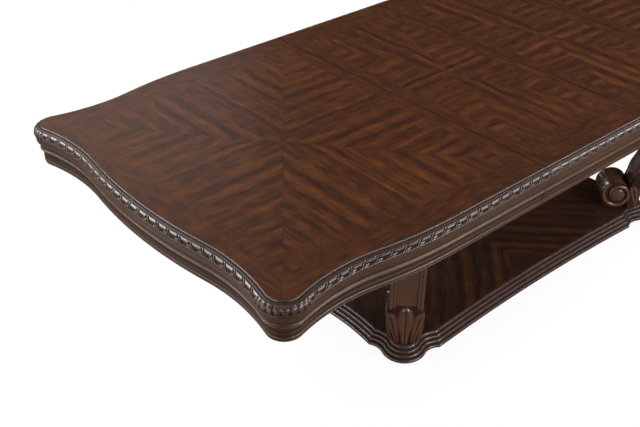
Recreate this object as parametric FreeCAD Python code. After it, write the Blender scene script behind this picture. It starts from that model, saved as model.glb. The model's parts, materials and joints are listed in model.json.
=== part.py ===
import FreeCAD, Part
import math
import os

# Extending dining table on a plinth with four scroll legs, in millimetres.
# The origin is on the floor under the middle of the table. X runs along the length, Y to the back, Z up.
# The two leaves lie in place. The halves of the top pull apart along X and the leaves lift out.

Vector = FreeCAD.Vector
UP = Vector(0, 0, 1)

# Table top: sizes at the bead line, where the veneer meets the carved edge
table_height = 762.0
leaf_width = 457.0
half_length = 894.0
side_half_width = 556.0
seam_gap = 0.4
bead_rise = 1.0
edge_depth = 30.0
apron_depth = 116.0
apron_back = 18.0

# Wavy corner of the top: straight side, shoulder, dip, ear, end dip and bowed end
shoulder_from_end = 538.0
side_dip_from_end = 211.0
side_dip_depth = 30.0
side_dip_radius = 560.0
ear_radius = 43.0
end_dip_depth = 27.0
end_dip_y = 340.0
end_dip_radius = 600.0

# Plinth
plinth_height = 50.0
leg_x = 604.0
leg_y = 226.0
lobe_radius = 70.0
neck_radius = 60.0
plinth_side_hollow = 16.0
plinth_end_hollow = 12.0
side_cusp_from_leg = 92.0
side_cusp_out = 71.0
end_cusp_from_leg = 86.0
end_cusp_out = 68.0
reed_count = 5
reed_step = 6.4
reed_nose = 2.0
glide_height = 3.0
glide_radius = 12.0
glide_side_x = 450.0
glide_end_y = 90.0
plinth_panel_thickness = 18.0
plinth_rail_y = 120.0
plinth_rail_width = 40.0
plinth_rail_overhang = 20.0
cross_rail_spacing = 420.0
cross_rail_width = 60.0

# Scroll leg: sizes in its own diagonal plane, out from the lobe centre and up from the plinth
foot_front = 36.0
foot_radius = 58.0
foot_height = 140.0
volute_width = 116.0
volute_recess = 5.0
volute_rim = 14.0
stem_step = 1.0
button_radius = 24.0
button_thickness = 9.0
button_edge = 3.0
low_volute_out = -62.0
low_volute_radius = 56.0
high_volute_out = 168.0
high_volute_radius = 44.0
high_volute_drop = 62.0
leg_head_height = 20.0
leg_head_inner = 52.0
leg_head_outer = 160.0
leg_bolt_outs = (-70.0, -5.0)
head_bolt_outs = (80.0, 130.0)
bolt_radius = 4.0
bolt_head_radius = 9.0
bolt_head_height = 6.0
bolt_bite = 60.0
bolt_clearance = 0.1

# S-curves of the stem above its root in the foot: distance out, and height as a share of the leg's height
stem_root_inner = -34.0
stem_root_outer = 34.0
stem_inner_curve = [(-9.0, 0.25), (12.0, 0.335), (30.0, 0.45), (52.0, 0.62), (62.0, 0.755)]
stem_outer_curve = [(40.0, 0.25), (54.0, 0.35), (78.0, 0.485), (110.0, 0.655), (140.0, 0.805)]

# Frame on the leg tops
frame_rail_height = 44.0
frame_rail_thickness = 40.0
cross_frame_width = 110.0
cross_frame_overhang = 30.0

# Slides: guides on the frame, runners under the halves, which pull apart this far
pull_apart = 75.0
guide_y = 224.0
guide_width = 44.0
guide_height = 41.0
guide_overhang = 60.0
groove_depth = 12.0
groove_height = 12.0
slide_clearance = 0.3
runner_width = 27.0
runner_start_from_end = 200.0
runner_tail = 35.0
runner_relief = 0.5
runner_lift = 1.0
screw_radius = 2.5
screw_head_radius = 5.0
screw_head_height = 4.0
screw_bite = 18.0
screw_clearance = 0.05
runner_screw_inset = 60.0
runner_screw_count = 4

# Equaliser: pinion on the bridge, a rack under each half
tooth_module = 3.0
pinion_teeth = 20
pressure_angle = math.radians(20.0)
backlash = 0.3
pinion_height = 14.0
pinion_bore_clearance = 0.05
axle_radius = 6.0
collar_radius = 12.0
axle_cap_radius = 10.0
axle_depth = 20.0
bridge_width = 120.0
rack_back = 20.0
rack_height = 20.0
rack_tail = 55.0
rack_start_from_end = 260.0

# Swivel locks: one under each half, with a stud under the leaf beside it
lock_from_seam = 30.0
lock_reach = 46.0
lock_half_width = 11.0
lock_thickness = 5.0
lock_pivot_radius = 4.0
lock_pivot_clearance = 0.1
stud_radius = 4.0
stud_clearance = 0.6
stud_length = 8.0
stud_bite = 12.0

# Levels and places that follow from the sizes above
seam_x = leaf_width
end_x = leaf_width + half_length
panel_top = table_height - bead_rise
panel_bottom = table_height - edge_depth
guide_top = panel_bottom - slide_clearance
guide_bottom = guide_top - guide_height
leg_top = guide_bottom - frame_rail_height
leg_height = leg_top - plinth_height
leg_width = volute_width - 2 * (volute_recess + stem_step)
bolt_hole_radius = bolt_radius + bolt_clearance
reed_rise = (plinth_height - glide_height) / reed_count
edge_width = reed_count * reed_step
plinth_panel_bottom = plinth_height - plinth_panel_thickness
diagonal = math.sqrt(0.5)
head_middle = (leg_head_inner + leg_head_outer) / 2
frame_x = leg_x + head_middle * diagonal
frame_y = leg_y + head_middle * diagonal
runner_past_middle = pull_apart + runner_tail
rack_past_middle = pull_apart + rack_tail
pinion_radius = tooth_module * pinion_teeth / 2
tooth_depth = 1.25 * tooth_module
pinion_bottom = panel_bottom - rack_height + (rack_height - pinion_height) / 2
quarter_signs = [(1, 1), (-1, 1), (-1, -1), (1, -1)]
corner_names = {(1, 1): "back_right", (-1, 1): "back_left", (-1, -1): "front_left", (1, -1): "front_right"}


# Drawing helpers

def save(name, *solids):
    """Write one node; several solids make one group."""
    shape = solids[0] if len(solids) == 1 else Part.makeCompound(list(solids))
    if not shape.isValid():
        raise ValueError(name + " is not a valid shape")
    shape.exportStep("parts/" + name + ".step")


def box(x0, x1, y0, y1, z0, z1):
    return Part.makeBox(x1 - x0, y1 - y0, z1 - z0, Vector(x0, y0, z0))


def post(x, y, z0, z1, radius):
    return Part.makeCylinder(radius, z1 - z0, Vector(x, y, z0))


def line(start, end):
    return Part.LineSegment(start, end).toShape()


def arc_about(centre, start, end):
    """The shorter arc round centre from start to end."""
    radius = (start - centre).Length
    bisector = (start - centre) + (end - centre)
    bisector.normalize()
    return Part.Arc(start, centre + bisector * radius, end).toShape()


def meeting_points(centre_a, radius_a, centre_b, radius_b):
    """Where two circles in a level plane cross."""
    across = centre_b - centre_a
    gap = across.Length
    along = (radius_a ** 2 - radius_b ** 2 + gap ** 2) / (2 * gap)
    aside = math.sqrt(radius_a ** 2 - along ** 2)
    across.normalize()
    square = UP.cross(across)
    middle = centre_a + across * along
    return [middle + square * aside, middle - square * aside]


def between(start, end, share):
    return start + (end - start) * share


def flip(point, x_sign, y_sign):
    return Vector(point.x * x_sign, point.y * y_sign, point.z)


def mirrored(shape):
    """The same shape on the other half of the table."""
    return shape.mirror(Vector(0, 0, 0), Vector(1, 0, 0))


def turned_round(shape):
    """The same shape turned half a turn about the middle of the table."""
    copy = shape.copy()
    copy.rotate(Vector(0, 0, 0), UP, 180)
    return copy


# Outline of the top

def top_outline():
    """Joints and centres of the wavy quarter outline, for positive X and Y."""
    side_dip = Vector(end_x - side_dip_from_end, side_half_width - side_dip_depth, 0)
    shoulder = Vector(end_x - shoulder_from_end, side_half_width, 0)
    side_run = side_dip.x - shoulder.x
    side_radii = (side_run ** 2 + side_dip_depth ** 2) / (2 * side_dip_depth)
    shoulder_radius = side_radii - side_dip_radius
    shoulder_centre = shoulder - Vector(0, shoulder_radius, 0)
    side_dip_centre = side_dip + Vector(0, side_dip_radius, 0)
    end_radii = (end_dip_y ** 2 + end_dip_depth ** 2) / (2 * end_dip_depth)
    bow_radius = end_radii - end_dip_radius
    end_dip_centre = Vector(end_x - end_dip_depth + end_dip_radius, end_dip_y, 0)
    bow_centre = Vector(end_x - bow_radius, 0, 0)
    ear_choices = meeting_points(
        side_dip_centre, side_dip_radius + ear_radius, end_dip_centre, end_dip_radius + ear_radius)
    ear_centre = min(ear_choices, key=lambda point: point.Length)
    ear_from_side = between(ear_centre, side_dip_centre, ear_radius / (ear_radius + side_dip_radius))
    ear_from_end = between(ear_centre, end_dip_centre, ear_radius / (ear_radius + end_dip_radius))
    ear_bisector = (ear_from_side - ear_centre) + (ear_from_end - ear_centre)
    ear_bisector.normalize()
    return {
        "seam": Vector(seam_x, side_half_width, 0),
        "shoulder": shoulder,
        "shoulder_centre": shoulder_centre,
        "side_turn": between(shoulder_centre, side_dip_centre, shoulder_radius / side_radii),
        "side_dip_centre": side_dip_centre,
        "ear_from_side": ear_from_side,
        "ear_centre": ear_centre,
        "ear_tip": ear_centre + ear_bisector * ear_radius,
        "ear_from_end": ear_from_end,
        "end_dip_centre": end_dip_centre,
        "end_turn": between(bow_centre, end_dip_centre, bow_radius / end_radii),
        "bow_centre": bow_centre,
    }


outline = top_outline()


def outline_point(name, y_sign):
    """A named point of the outline on the left half, at the front (-1) or the back (1)."""
    return flip(outline[name], -1, y_sign)


def outline_arc(centre, start, end, y_sign):
    return arc_about(outline_point(centre, y_sign), outline_point(start, y_sign), outline_point(end, y_sign))


def side_path(y_sign):
    """Bead line along one long side of the left half, from the seam to the ear tip."""
    return Part.Wire([
        line(outline_point("seam", y_sign), outline_point("shoulder", y_sign)),
        outline_arc("shoulder_centre", "shoulder", "side_turn", y_sign),
        outline_arc("side_dip_centre", "side_turn", "ear_from_side", y_sign),
        outline_arc("ear_centre", "ear_from_side", "ear_tip", y_sign),
    ])


def end_path():
    """Bead line round the left end, from the front ear tip to the back ear tip."""
    return Part.Wire([
        outline_arc("ear_centre", "ear_tip", "ear_from_end", -1),
        outline_arc("end_dip_centre", "ear_from_end", "end_turn", -1),
        arc_about(
            outline_point("bow_centre", -1), outline_point("end_turn", -1), outline_point("end_turn", 1)),
        outline_arc("end_dip_centre", "end_turn", "ear_from_end", 1),
        outline_arc("ear_centre", "ear_from_end", "ear_tip", 1),
    ])


# Edge sections: offsets out from the bead line, and depths below the table top

def section_wire(place, steps):
    """Closed section from a start point and steps: ("line", to) or ("arc", via, to)."""
    start = steps[0]
    edges = []
    last = place(*start)
    for step in steps[1:]:
        end = place(*step[-1])
        if step[0] == "line":
            edges.append(line(last, end))
        else:
            edges.append(Part.Arc(last, place(*step[1]), end).toShape())
        last = end
    edges.append(line(last, place(*start)))
    return Part.Wire(edges)


carved_section = [
    (0.0, -edge_depth),
    ("line", (0.0, -bead_rise)),
    ("arc", (3.0, 0.0), (6.0, -bead_rise)),
    ("line", (7.0, -4.5)),
    ("line", (8.5, -4.5)),
    ("arc", (19.0, -9.5), (23.5, -19.0)),
    ("arc", (23.2, -(19.0 + edge_depth) / 2), (21.0, -edge_depth)),
]

apron_section = [
    (-apron_back, -edge_depth),
    ("line", (19.5, -edge_depth)),
    ("arc", (20.0, -edge_depth - 12.0), (17.0, -edge_depth - 24.0)),
    ("arc", (10.5, -(edge_depth + apron_depth - 10.0) / 2), (8.0, -apron_depth + 34.0)),
    ("line", (3.0, -apron_depth + 31.0)),
    ("line", (3.0, -apron_depth + 28.0)),
    ("arc", (7.0, -apron_depth + 21.5), (3.5, -apron_depth + 15.0)),
    ("arc", (7.0, -apron_depth + 9.0), (3.0, -apron_depth + 3.0)),
    ("line", (1.5, -apron_depth)),
    ("line", (-apron_back, -apron_depth)),
]


def placed_at(start, outward):
    return lambda out, depth: start + outward * out + UP * (table_height + depth)


def sweep(path, start, outward, section):
    """Carry an edge section along a bead line."""
    pipe = Part.BRepOffsetAPI.MakePipeShell(path)
    pipe.setBiNormalMode(UP)
    pipe.add(section_wire(placed_at(start, outward), section))
    pipe.build()
    pipe.makeSolid()
    return pipe.shape()


def ear_outward(y_sign):
    outward = outline_point("ear_tip", y_sign) - outline_point("ear_centre", y_sign)
    return outward.normalize()


def side_edge(y_sign, section):
    return sweep(side_path(y_sign), outline_point("seam", y_sign), Vector(0, y_sign, 0), section)


def end_edge(section):
    return sweep(end_path(), outline_point("ear_tip", -1), ear_outward(-1), section)


def leaf_edge(x0, x1, y_sign, section):
    start = Vector(x0, y_sign * side_half_width, 0)
    face = Part.Face(section_wire(placed_at(start, Vector(0, y_sign, 0)), section))
    return face.extrude(Vector(x1 - x0, 0, 0))


# Slides: a pair of runners for each half, on opposite sides of the guides

def runner_span():
    """X range of the left half's runners."""
    return -(end_x - runner_start_from_end), runner_past_middle


def runner_screw_xs():
    first = runner_span()[0] + runner_screw_inset
    last = -seam_x - runner_screw_inset
    step = (last - first) / (runner_screw_count - 1)
    return [first + step * index for index in range(runner_screw_count)]


def runner_faces(outer):
    """Distances from the middle plane: the face beside the guide, and the far face."""
    if outer:
        beside = guide_y + guide_width / 2 + slide_clearance
        return beside, beside + runner_width
    beside = guide_y - guide_width / 2 - slide_clearance
    return beside, beside - runner_width


def runner(y_sign, outer):
    """One runner under the left half, with a tongue in the guide's groove."""
    x0, x1 = runner_span()
    beside, far = runner_faces(outer)
    body = box(x0, x1, min(beside, far), max(beside, far), guide_bottom + runner_lift, panel_bottom)
    relief = box(-seam_x, x1, min(beside, far), max(beside, far), panel_bottom - runner_relief, panel_bottom)
    groove_middle = (guide_top + guide_bottom) / 2
    tongue_half = groove_height / 2 - slide_clearance
    reach = groove_depth - slide_clearance
    tongue_end = beside - reach if outer else beside + reach
    tongue = box(x0, x1, min(beside, tongue_end), max(beside, tongue_end),
                 groove_middle - tongue_half, groove_middle + tongue_half)
    solid = body.cut(relief).fuse(tongue).removeSplitter()
    for x in runner_screw_xs():
        y = (beside + far) / 2
        solid = solid.cut(post(x, y, guide_bottom, panel_bottom, screw_radius + screw_clearance))
        head_top = guide_bottom + runner_lift + screw_head_height
        solid = solid.cut(post(x, y, guide_bottom, head_top, screw_head_radius + screw_clearance))
    return solid if y_sign > 0 else solid.mirror(Vector(0, 0, 0), Vector(0, 1, 0))


def runner_screw_places(outer):
    beside, far = runner_faces(outer)
    return [(x, y_sign * (beside + far) / 2) for x in runner_screw_xs() for y_sign in (-1, 1)]


def screw_up(x, y, head_bottom):
    """A wood screw with its head down, biting into the panel."""
    head = post(x, y, head_bottom, head_bottom + screw_head_height, screw_head_radius)
    shank = post(x, y, head_bottom, panel_bottom + screw_bite, screw_radius)
    return head.fuse(shank).removeSplitter()


# Equaliser

def rack_tooth(middle, pitch_y):
    """Outline points of one straight-sided rack tooth that points to -Y."""
    half = math.pi * tooth_module / 4 - backlash / 2
    lean = math.tan(pressure_angle)
    root_half = half + tooth_depth * lean
    tip_half = half - tooth_module * lean
    root_y = pitch_y + tooth_depth
    tip_y = pitch_y - tooth_module
    return [(middle - root_half, root_y), (middle - tip_half, tip_y),
            (middle + tip_half, tip_y), (middle + root_half, root_y)]


def rack_screw_xs():
    first = -(end_x - rack_start_from_end) + runner_screw_inset
    return [first, -seam_x - runner_screw_inset]


def rack_y():
    return pinion_radius + tooth_depth + rack_back / 2


def rack():
    """The left half's rack, at the back of the pinion."""
    start = -(end_x - rack_start_from_end)
    back_y = pinion_radius + tooth_depth + rack_back
    pitch = math.pi * tooth_module
    first = math.ceil(-seam_x / pitch)
    last = math.floor(rack_past_middle / pitch) - 1
    points = [(start, back_y), (start, pinion_radius + tooth_depth)]
    for index in range(first, last + 1):
        points += rack_tooth((index + 0.5) * pitch, pinion_radius)
    points += [(rack_past_middle, pinion_radius + tooth_depth), (rack_past_middle, back_y)]
    bottom = panel_bottom - rack_height
    corners = [Vector(x, y, bottom) for x, y in points]
    solid = Part.Face(Part.makePolygon(corners + corners[:1])).extrude(Vector(0, 0, rack_height))
    relief = box(-seam_x, rack_past_middle, 0, back_y, panel_bottom - runner_relief, panel_bottom)
    solid = solid.cut(relief)
    for x in rack_screw_xs():
        solid = solid.cut(post(x, rack_y(), bottom, panel_bottom, screw_radius + screw_clearance))
    return solid


def flank_points(half_angle, side):
    """Points of one involute flank, from the base circle to the tip."""
    base_radius = pinion_radius * math.cos(pressure_angle)
    tip_radius = pinion_radius + tooth_module
    tip_roll = math.sqrt((tip_radius / base_radius) ** 2 - 1)
    involute = math.tan(pressure_angle) - pressure_angle
    count = 5
    points = []
    for index in range(count):
        roll = tip_roll * index / (count - 1)
        radius = base_radius * math.sqrt(1 + roll ** 2)
        angle = half_angle + involute - (roll - math.atan(roll))
        points.append((radius, side * angle))
    return points


def polar(radius, angle):
    return Vector(radius * math.cos(angle), radius * math.sin(angle), pinion_bottom)


def pinion():
    """Involute pinion with a tooth pointing to +Y."""
    root_radius = pinion_radius - tooth_depth
    half_angle = math.pi / (2 * pinion_teeth) - backlash / (2 * pinion_radius)
    pitch_angle = 2 * math.pi / pinion_teeth
    edges = []
    for tooth in range(pinion_teeth):
        middle = math.pi / 2 + tooth * pitch_angle
        rising = [polar(radius, middle + angle) for radius, angle in flank_points(half_angle, -1)]
        falling = [polar(radius, middle + angle) for radius, angle in flank_points(half_angle, 1)]
        base_angle = flank_points(half_angle, 1)[0][1]
        root_start = polar(root_radius, middle - base_angle)
        root_end = polar(root_radius, middle + base_angle)
        next_root = polar(root_radius, middle + pitch_angle - base_angle)
        rising_curve = Part.BSplineCurve()
        rising_curve.interpolate(rising)
        falling_curve = Part.BSplineCurve()
        falling_curve.interpolate(falling[::-1])
        edges.append(line(root_start, rising[0]))
        edges.append(rising_curve.toShape())
        edges.append(arc_about(polar(0, 0), rising[-1], falling[-1]))
        edges.append(falling_curve.toShape())
        edges.append(line(falling[0], root_end))
        edges.append(arc_about(polar(0, 0), root_end, next_root))
    solid = Part.Face(Part.Wire(edges)).extrude(Vector(0, 0, pinion_height))
    bore = post(0, 0, pinion_bottom, pinion_bottom + pinion_height, axle_radius + pinion_bore_clearance)
    return solid.cut(bore)


def axle():
    """Fixed axle: a spindle in the bridge, a collar under the pinion and a cap over it."""
    spindle = post(0, 0, guide_bottom - axle_depth, pinion_bottom + pinion_height, axle_radius)
    collar = post(0, 0, guide_bottom, pinion_bottom - slide_clearance, collar_radius)
    cap_bottom = pinion_bottom + pinion_height + slide_clearance
    neck = post(0, 0, pinion_bottom + pinion_height, cap_bottom, axle_radius)
    cap = post(0, 0, cap_bottom, panel_bottom - runner_relief, axle_cap_radius)
    return spindle.fuse([collar, neck, cap]).removeSplitter()


# Swivel lock of the left half, midway between the outer runner and the apron
# At rest the lever lies along the seam, and a quarter turn brings it to the stud

lock_x = -seam_x - lock_from_seam
lock_y = (runner_faces(True)[1] + side_half_width - apron_back) / 2
lock_top = panel_bottom - slide_clearance


def lock_lever():
    bottom = lock_top - lock_thickness
    tip_y = lock_y - lock_reach
    lever = post(lock_x, lock_y, bottom, lock_top, lock_half_width)
    lever = lever.fuse(post(lock_x, tip_y, bottom, lock_top, lock_half_width))
    lever = lever.fuse(
        box(lock_x - lock_half_width, lock_x + lock_half_width, tip_y, lock_y, bottom, lock_top))
    slot_half = stud_radius + stud_clearance
    ring = post(lock_x, lock_y, bottom, lock_top, lock_reach + slot_half)
    ring = ring.cut(post(lock_x, lock_y, bottom, lock_top, lock_reach - slot_half))
    leading_side = box(lock_x - slot_half, lock_x + 2 * lock_half_width, tip_y - 2 * lock_half_width, lock_y,
                       bottom, lock_top)
    bore = post(lock_x, lock_y, bottom, lock_top, lock_pivot_radius + lock_pivot_clearance)
    return lever.removeSplitter().cut(ring.common(leading_side)).cut(bore)


def lock_pivot():
    """Shouldered screw that the lever turns on."""
    head_top = lock_top - lock_thickness - slide_clearance
    head = post(lock_x, lock_y, head_top - screw_head_height, head_top, 2 * lock_pivot_radius)
    shank = post(lock_x, lock_y, head_top, panel_bottom + stud_bite, lock_pivot_radius)
    return head.fuse(shank).removeSplitter()


def lock_stud():
    """Stud under the left leaf, where the lever's slot arrives."""
    x = lock_x + lock_reach
    return post(x, lock_y, panel_bottom - stud_length, panel_bottom + stud_bite, stud_radius)


# Halves of the top and leaves

def half_panel(runners_outer):
    """Left panel with pilot holes for its screws."""
    edges = side_path(-1).Edges + end_path().Edges + side_path(1).Edges
    edges.append(line(outline_point("seam", 1), outline_point("seam", -1)))
    wire = Part.Wire(Part.__sortEdges__(edges))
    panel = Part.Face(wire).extrude(Vector(0, 0, panel_top - panel_bottom))
    panel.translate(Vector(0, 0, panel_bottom))
    places = runner_screw_places(runners_outer) + [(x, rack_y()) for x in rack_screw_xs()]
    for x, y in places:
        panel = panel.cut(post(x, y, panel_bottom, panel_bottom + screw_bite, screw_radius + screw_clearance))
    pivot_hole_radius = lock_pivot_radius + screw_clearance
    return panel.cut(post(lock_x, lock_y, panel_bottom, panel_bottom + stud_bite, pivot_hole_radius))


def build_half(side):
    """One half of the top: the left one as drawn, the right one mirrored or turned round."""
    is_left = side == "left"
    runners_outer = not is_left
    edge_place = (lambda shape: shape) if is_left else mirrored
    gear_place = (lambda shape: shape) if is_left else turned_round
    save(side + "_top_panel", gear_place(half_panel(runners_outer)))
    for section_name, section in (("carved_edge", carved_section), ("apron", apron_section)):
        save(side + "_" + section_name + "_front", edge_place(side_edge(-1, section)))
        save(side + "_" + section_name + "_end", edge_place(end_edge(section)))
        save(side + "_" + section_name + "_back", edge_place(side_edge(1, section)))
    save(side + "_runner_front", edge_place(runner(-1, runners_outer)))
    save(side + "_runner_back", edge_place(runner(1, runners_outer)))
    save(side + "_rack", gear_place(rack()))
    runner_screw_head = guide_bottom + runner_lift
    runner_screws = [screw_up(x, y, runner_screw_head) for x, y in runner_screw_places(runners_outer)]
    rack_screw_head = panel_bottom - rack_height - screw_head_height
    rack_screws = [screw_up(x, rack_y(), rack_screw_head) for x in rack_screw_xs()]
    save(side + "_slide_screws", *[gear_place(screw) for screw in runner_screws + rack_screws])
    save(side + "_lock_pivot", gear_place(lock_pivot()))
    save(side + "_lock_lever", gear_place(lock_lever()))


def build_leaf(side):
    """One leaf, drawn as the left one, with its stud."""
    x0 = -seam_x + seam_gap
    x1 = -seam_gap / 2
    edge_place = (lambda shape: shape) if side == "left" else mirrored
    gear_place = (lambda shape: shape) if side == "left" else turned_round
    panel = box(x0, x1, -side_half_width, side_half_width, panel_bottom, panel_top)
    hole_radius = stud_radius + screw_clearance
    hole = post(lock_x + lock_reach, lock_y, panel_bottom, panel_bottom + stud_bite, hole_radius)
    save("leaf_" + side + "_panel", gear_place(panel.cut(hole)))
    save("leaf_" + side + "_stud", gear_place(lock_stud()))
    for section_name, section in (("carved_edges", carved_section), ("aprons", apron_section)):
        pair = [edge_place(leaf_edge(x0, x1, y_sign, section)) for y_sign in (-1, 1)]
        save("leaf_" + side + "_" + section_name, *pair)


# Plinth

leg_place = Vector(leg_x, leg_y, 0)


def plinth_centres():
    """Centres and radii of the hollow sides, the necks and the lobe, for positive X and Y."""
    side_cusp = leg_place + Vector(-side_cusp_from_leg, side_cusp_out, 0)
    end_cusp = leg_place + Vector(end_cusp_out, -end_cusp_from_leg, 0)
    side_radius = (side_cusp.x ** 2 + plinth_side_hollow ** 2) / (2 * plinth_side_hollow)
    end_radius = (end_cusp.y ** 2 + plinth_end_hollow ** 2) / (2 * plinth_end_hollow)
    neck_reach = lobe_radius + neck_radius
    side_necks = meeting_points(leg_place, neck_reach, side_cusp, neck_radius)
    end_necks = meeting_points(leg_place, neck_reach, end_cusp, neck_radius)
    return {
        "side_cusp": side_cusp,
        "end_cusp": end_cusp,
        "side": (Vector(0, side_cusp.y - plinth_side_hollow + side_radius, 0), side_radius),
        "end": (Vector(end_cusp.x - plinth_end_hollow + end_radius, 0, 0), end_radius),
        "side_neck": max(side_necks, key=lambda point: point.Length),
        "end_neck": max(end_necks, key=lambda point: point.Length),
    }


plinth = plinth_centres()


def plinth_cusp(hollow, neck, cusp, inset):
    """Where a hollow side meets a neck, at an inset from the outline."""
    centre, radius = plinth[hollow]
    choices = meeting_points(centre, radius + inset, plinth[neck], neck_radius + inset)
    return min(choices, key=lambda point: (point - plinth[cusp]).Length)


def plinth_wire(inset, z):
    """Plinth outline at an inset from its widest line."""
    side_centre, side_radius = plinth["side"]
    end_centre, end_radius = plinth["end"]
    side_middle = side_centre - Vector(0, side_radius + inset, 0)
    end_middle = end_centre - Vector(end_radius + inset, 0, 0)
    side_cusp = plinth_cusp("side", "side_neck", "side_cusp", inset)
    end_cusp = plinth_cusp("end", "end_neck", "end_cusp", inset)
    neck_reach = lobe_radius + neck_radius
    side_lobe = between(leg_place, plinth["side_neck"], (lobe_radius - inset) / neck_reach)
    end_lobe = between(leg_place, plinth["end_neck"], (lobe_radius - inset) / neck_reach)
    quarter = [
        (side_centre, side_middle, side_cusp),
        (plinth["side_neck"], side_cusp, side_lobe),
        (leg_place, side_lobe, end_lobe),
        (plinth["end_neck"], end_lobe, end_cusp),
        (end_centre, end_cusp, end_middle),
    ]
    edges = []
    for x_sign, y_sign in quarter_signs:
        run = quarter if x_sign == y_sign else [(centre, end, start) for centre, start, end in quarter[::-1]]
        for points in run:
            edges.append(arc_about(*[flip(point, x_sign, y_sign) + UP * z for point in points]))
    return Part.Wire(Part.__sortEdges__(edges))


def plinth_prism(inset, z0, z1):
    return Part.Face(plinth_wire(inset, z0)).extrude(Vector(0, 0, z1 - z0))


def plinth_rim():
    """Stack of reeds that step in towards the top, open in the middle."""
    reeds = []
    for index in range(reed_count):
        inset = index * reed_step
        bottom = glide_height + index * reed_rise
        levels = [
            plinth_wire(inset + reed_nose, bottom),
            plinth_wire(inset, bottom + reed_rise / 2),
            plinth_wire(inset + reed_nose, bottom + reed_rise),
        ]
        reeds.append(Part.makeLoft(levels, True, True))
    rim = reeds[0].fuse(reeds[1:])
    return rim.cut(plinth_prism(edge_width, 0, 2 * plinth_height))


def mitre_sector(side):
    """Region of one plinth edge, between the diagonals through the lobe centres."""
    reach = 3 * lobe_radius
    near_left = Vector(-leg_x, -leg_y, 0)
    if side in ("front", "back"):
        corners = [near_left, near_left + Vector(-reach, -reach, 0),
                   Vector(leg_x + reach, -leg_y - reach, 0), Vector(leg_x, -leg_y, 0)]
    else:
        corners = [near_left, near_left + Vector(-reach, -reach, 0),
                   Vector(-leg_x - reach, leg_y + reach, 0), Vector(-leg_x, leg_y, 0)]
    sector = Part.Face(Part.makePolygon(corners + corners[:1])).extrude(Vector(0, 0, 2 * plinth_height))
    return sector if side in ("front", "left") else turned_round(sector)


def plinth_side_y(x):
    """Distance of the hollow long side from the middle plane, at its widest line."""
    centre, radius = plinth["side"]
    return centre.y - math.sqrt(radius ** 2 - x ** 2)


def plinth_end_x(y):
    centre, radius = plinth["end"]
    return centre.x - math.sqrt(radius ** 2 - y ** 2)


def build_plinth():
    rim = plinth_rim()
    for side in ("front", "back", "left", "right"):
        save("plinth_edge_" + side, rim.common(mitre_sector(side)).Solids[0])
    panel = plinth_prism(edge_width, plinth_panel_bottom, plinth_height)
    for x_sign, y_sign in quarter_signs:
        for out in leg_bolt_outs:
            place = on_leg(x_sign, y_sign, out)
            panel = panel.cut(post(place.x, place.y, plinth_panel_bottom, plinth_height, bolt_hole_radius))
    save("plinth_panel", panel)
    rail_end = leg_x - plinth_rail_overhang
    inner_y = plinth_rail_y - plinth_rail_width / 2
    outer_y = plinth_rail_y + plinth_rail_width / 2
    save("plinth_rail_front", box(-rail_end, rail_end, -outer_y, -inner_y, glide_height, plinth_panel_bottom))
    save("plinth_rail_back", box(-rail_end, rail_end, inner_y, outer_y, glide_height, plinth_panel_bottom))
    cross_rails = []
    for x in (-cross_rail_spacing, 0, cross_rail_spacing):
        cross_rails.append(box(x - cross_rail_width / 2, x + cross_rail_width / 2, -inner_y, inner_y,
                               glide_height, plinth_panel_bottom))
    save("plinth_cross_rails", *cross_rails)
    glides = []
    for x_sign, y_sign in quarter_signs:
        side_y = plinth_side_y(glide_side_x) - edge_width / 2
        end_x_place = plinth_end_x(glide_end_y) - edge_width / 2
        glides.append(post(x_sign * glide_side_x, y_sign * side_y, 0, glide_height, glide_radius))
        glides.append(post(x_sign * end_x_place, y_sign * glide_end_y, 0, glide_height, glide_radius))
    save("floor_glides", *glides)


# Legs

def on_leg(x_sign, y_sign, out):
    """Floor point at a distance out along a leg's diagonal from its lobe centre."""
    return Vector(x_sign * (leg_x + out * diagonal), y_sign * (leg_y + out * diagonal), 0)


def stand_leg(shape, x_sign, y_sign):
    """Turn a leg drawn along +X to its diagonal and stand it on its lobe."""
    copy = shape.copy()
    copy.rotate(Vector(0, 0, 0), UP, math.degrees(math.atan2(y_sign, x_sign)))
    copy.translate(Vector(x_sign * leg_x, y_sign * leg_y, 0))
    return copy


def volute_places():
    """Centre out from the lobe, height and radius of the low and the high volute."""
    return [
        (low_volute_out, plinth_height + low_volute_radius, low_volute_radius),
        (high_volute_out, leg_top - high_volute_drop, high_volute_radius),
    ]


def level_barrel(out, z, radius, y0, y1):
    return Part.makeCylinder(radius, y1 - y0, Vector(out, y0, z), Vector(0, 1, 0))


def volute(out, z, radius):
    """Barrel across the leg with a recess in each face."""
    half = volute_width / 2
    barrel = level_barrel(out, z, radius, -half, half)
    for y_sign in (-1, 1):
        inner = y_sign * (half - volute_recess)
        outer = y_sign * half
        barrel = barrel.cut(level_barrel(out, z, radius - volute_rim, min(inner, outer), max(inner, outer)))
    return barrel


def stem():
    """S-curved stem between the inner and outer curves, up to the leg's flat head."""
    side = -leg_width / 2
    head_bottom = leg_top - leg_head_height
    root = plinth_height + low_volute_radius
    inner = [Vector(stem_root_inner, side, root)]
    inner += [Vector(out, side, plinth_height + share * leg_height) for out, share in stem_inner_curve]
    outer = [Vector(stem_root_outer, side, root)]
    outer += [Vector(out, side, plinth_height + share * leg_height) for out, share in stem_outer_curve]
    inner_curve = Part.BSplineCurve()
    inner_curve.interpolate(inner)
    outer_curve = Part.BSplineCurve()
    outer_curve.interpolate(outer[::-1])
    corners = [
        inner[-1],
        Vector(leg_head_inner, side, head_bottom),
        Vector(leg_head_inner, side, leg_top),
        Vector(leg_head_outer, side, leg_top),
        Vector(leg_head_outer, side, head_bottom),
        outer[-1],
    ]
    edges = [inner_curve.toShape()]
    edges += [line(start, end) for start, end in zip(corners, corners[1:])]
    edges += [outer_curve.toShape(), line(outer[0], inner[0])]
    return Part.Face(Part.Wire(edges)).extrude(Vector(0, leg_width, 0))


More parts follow.
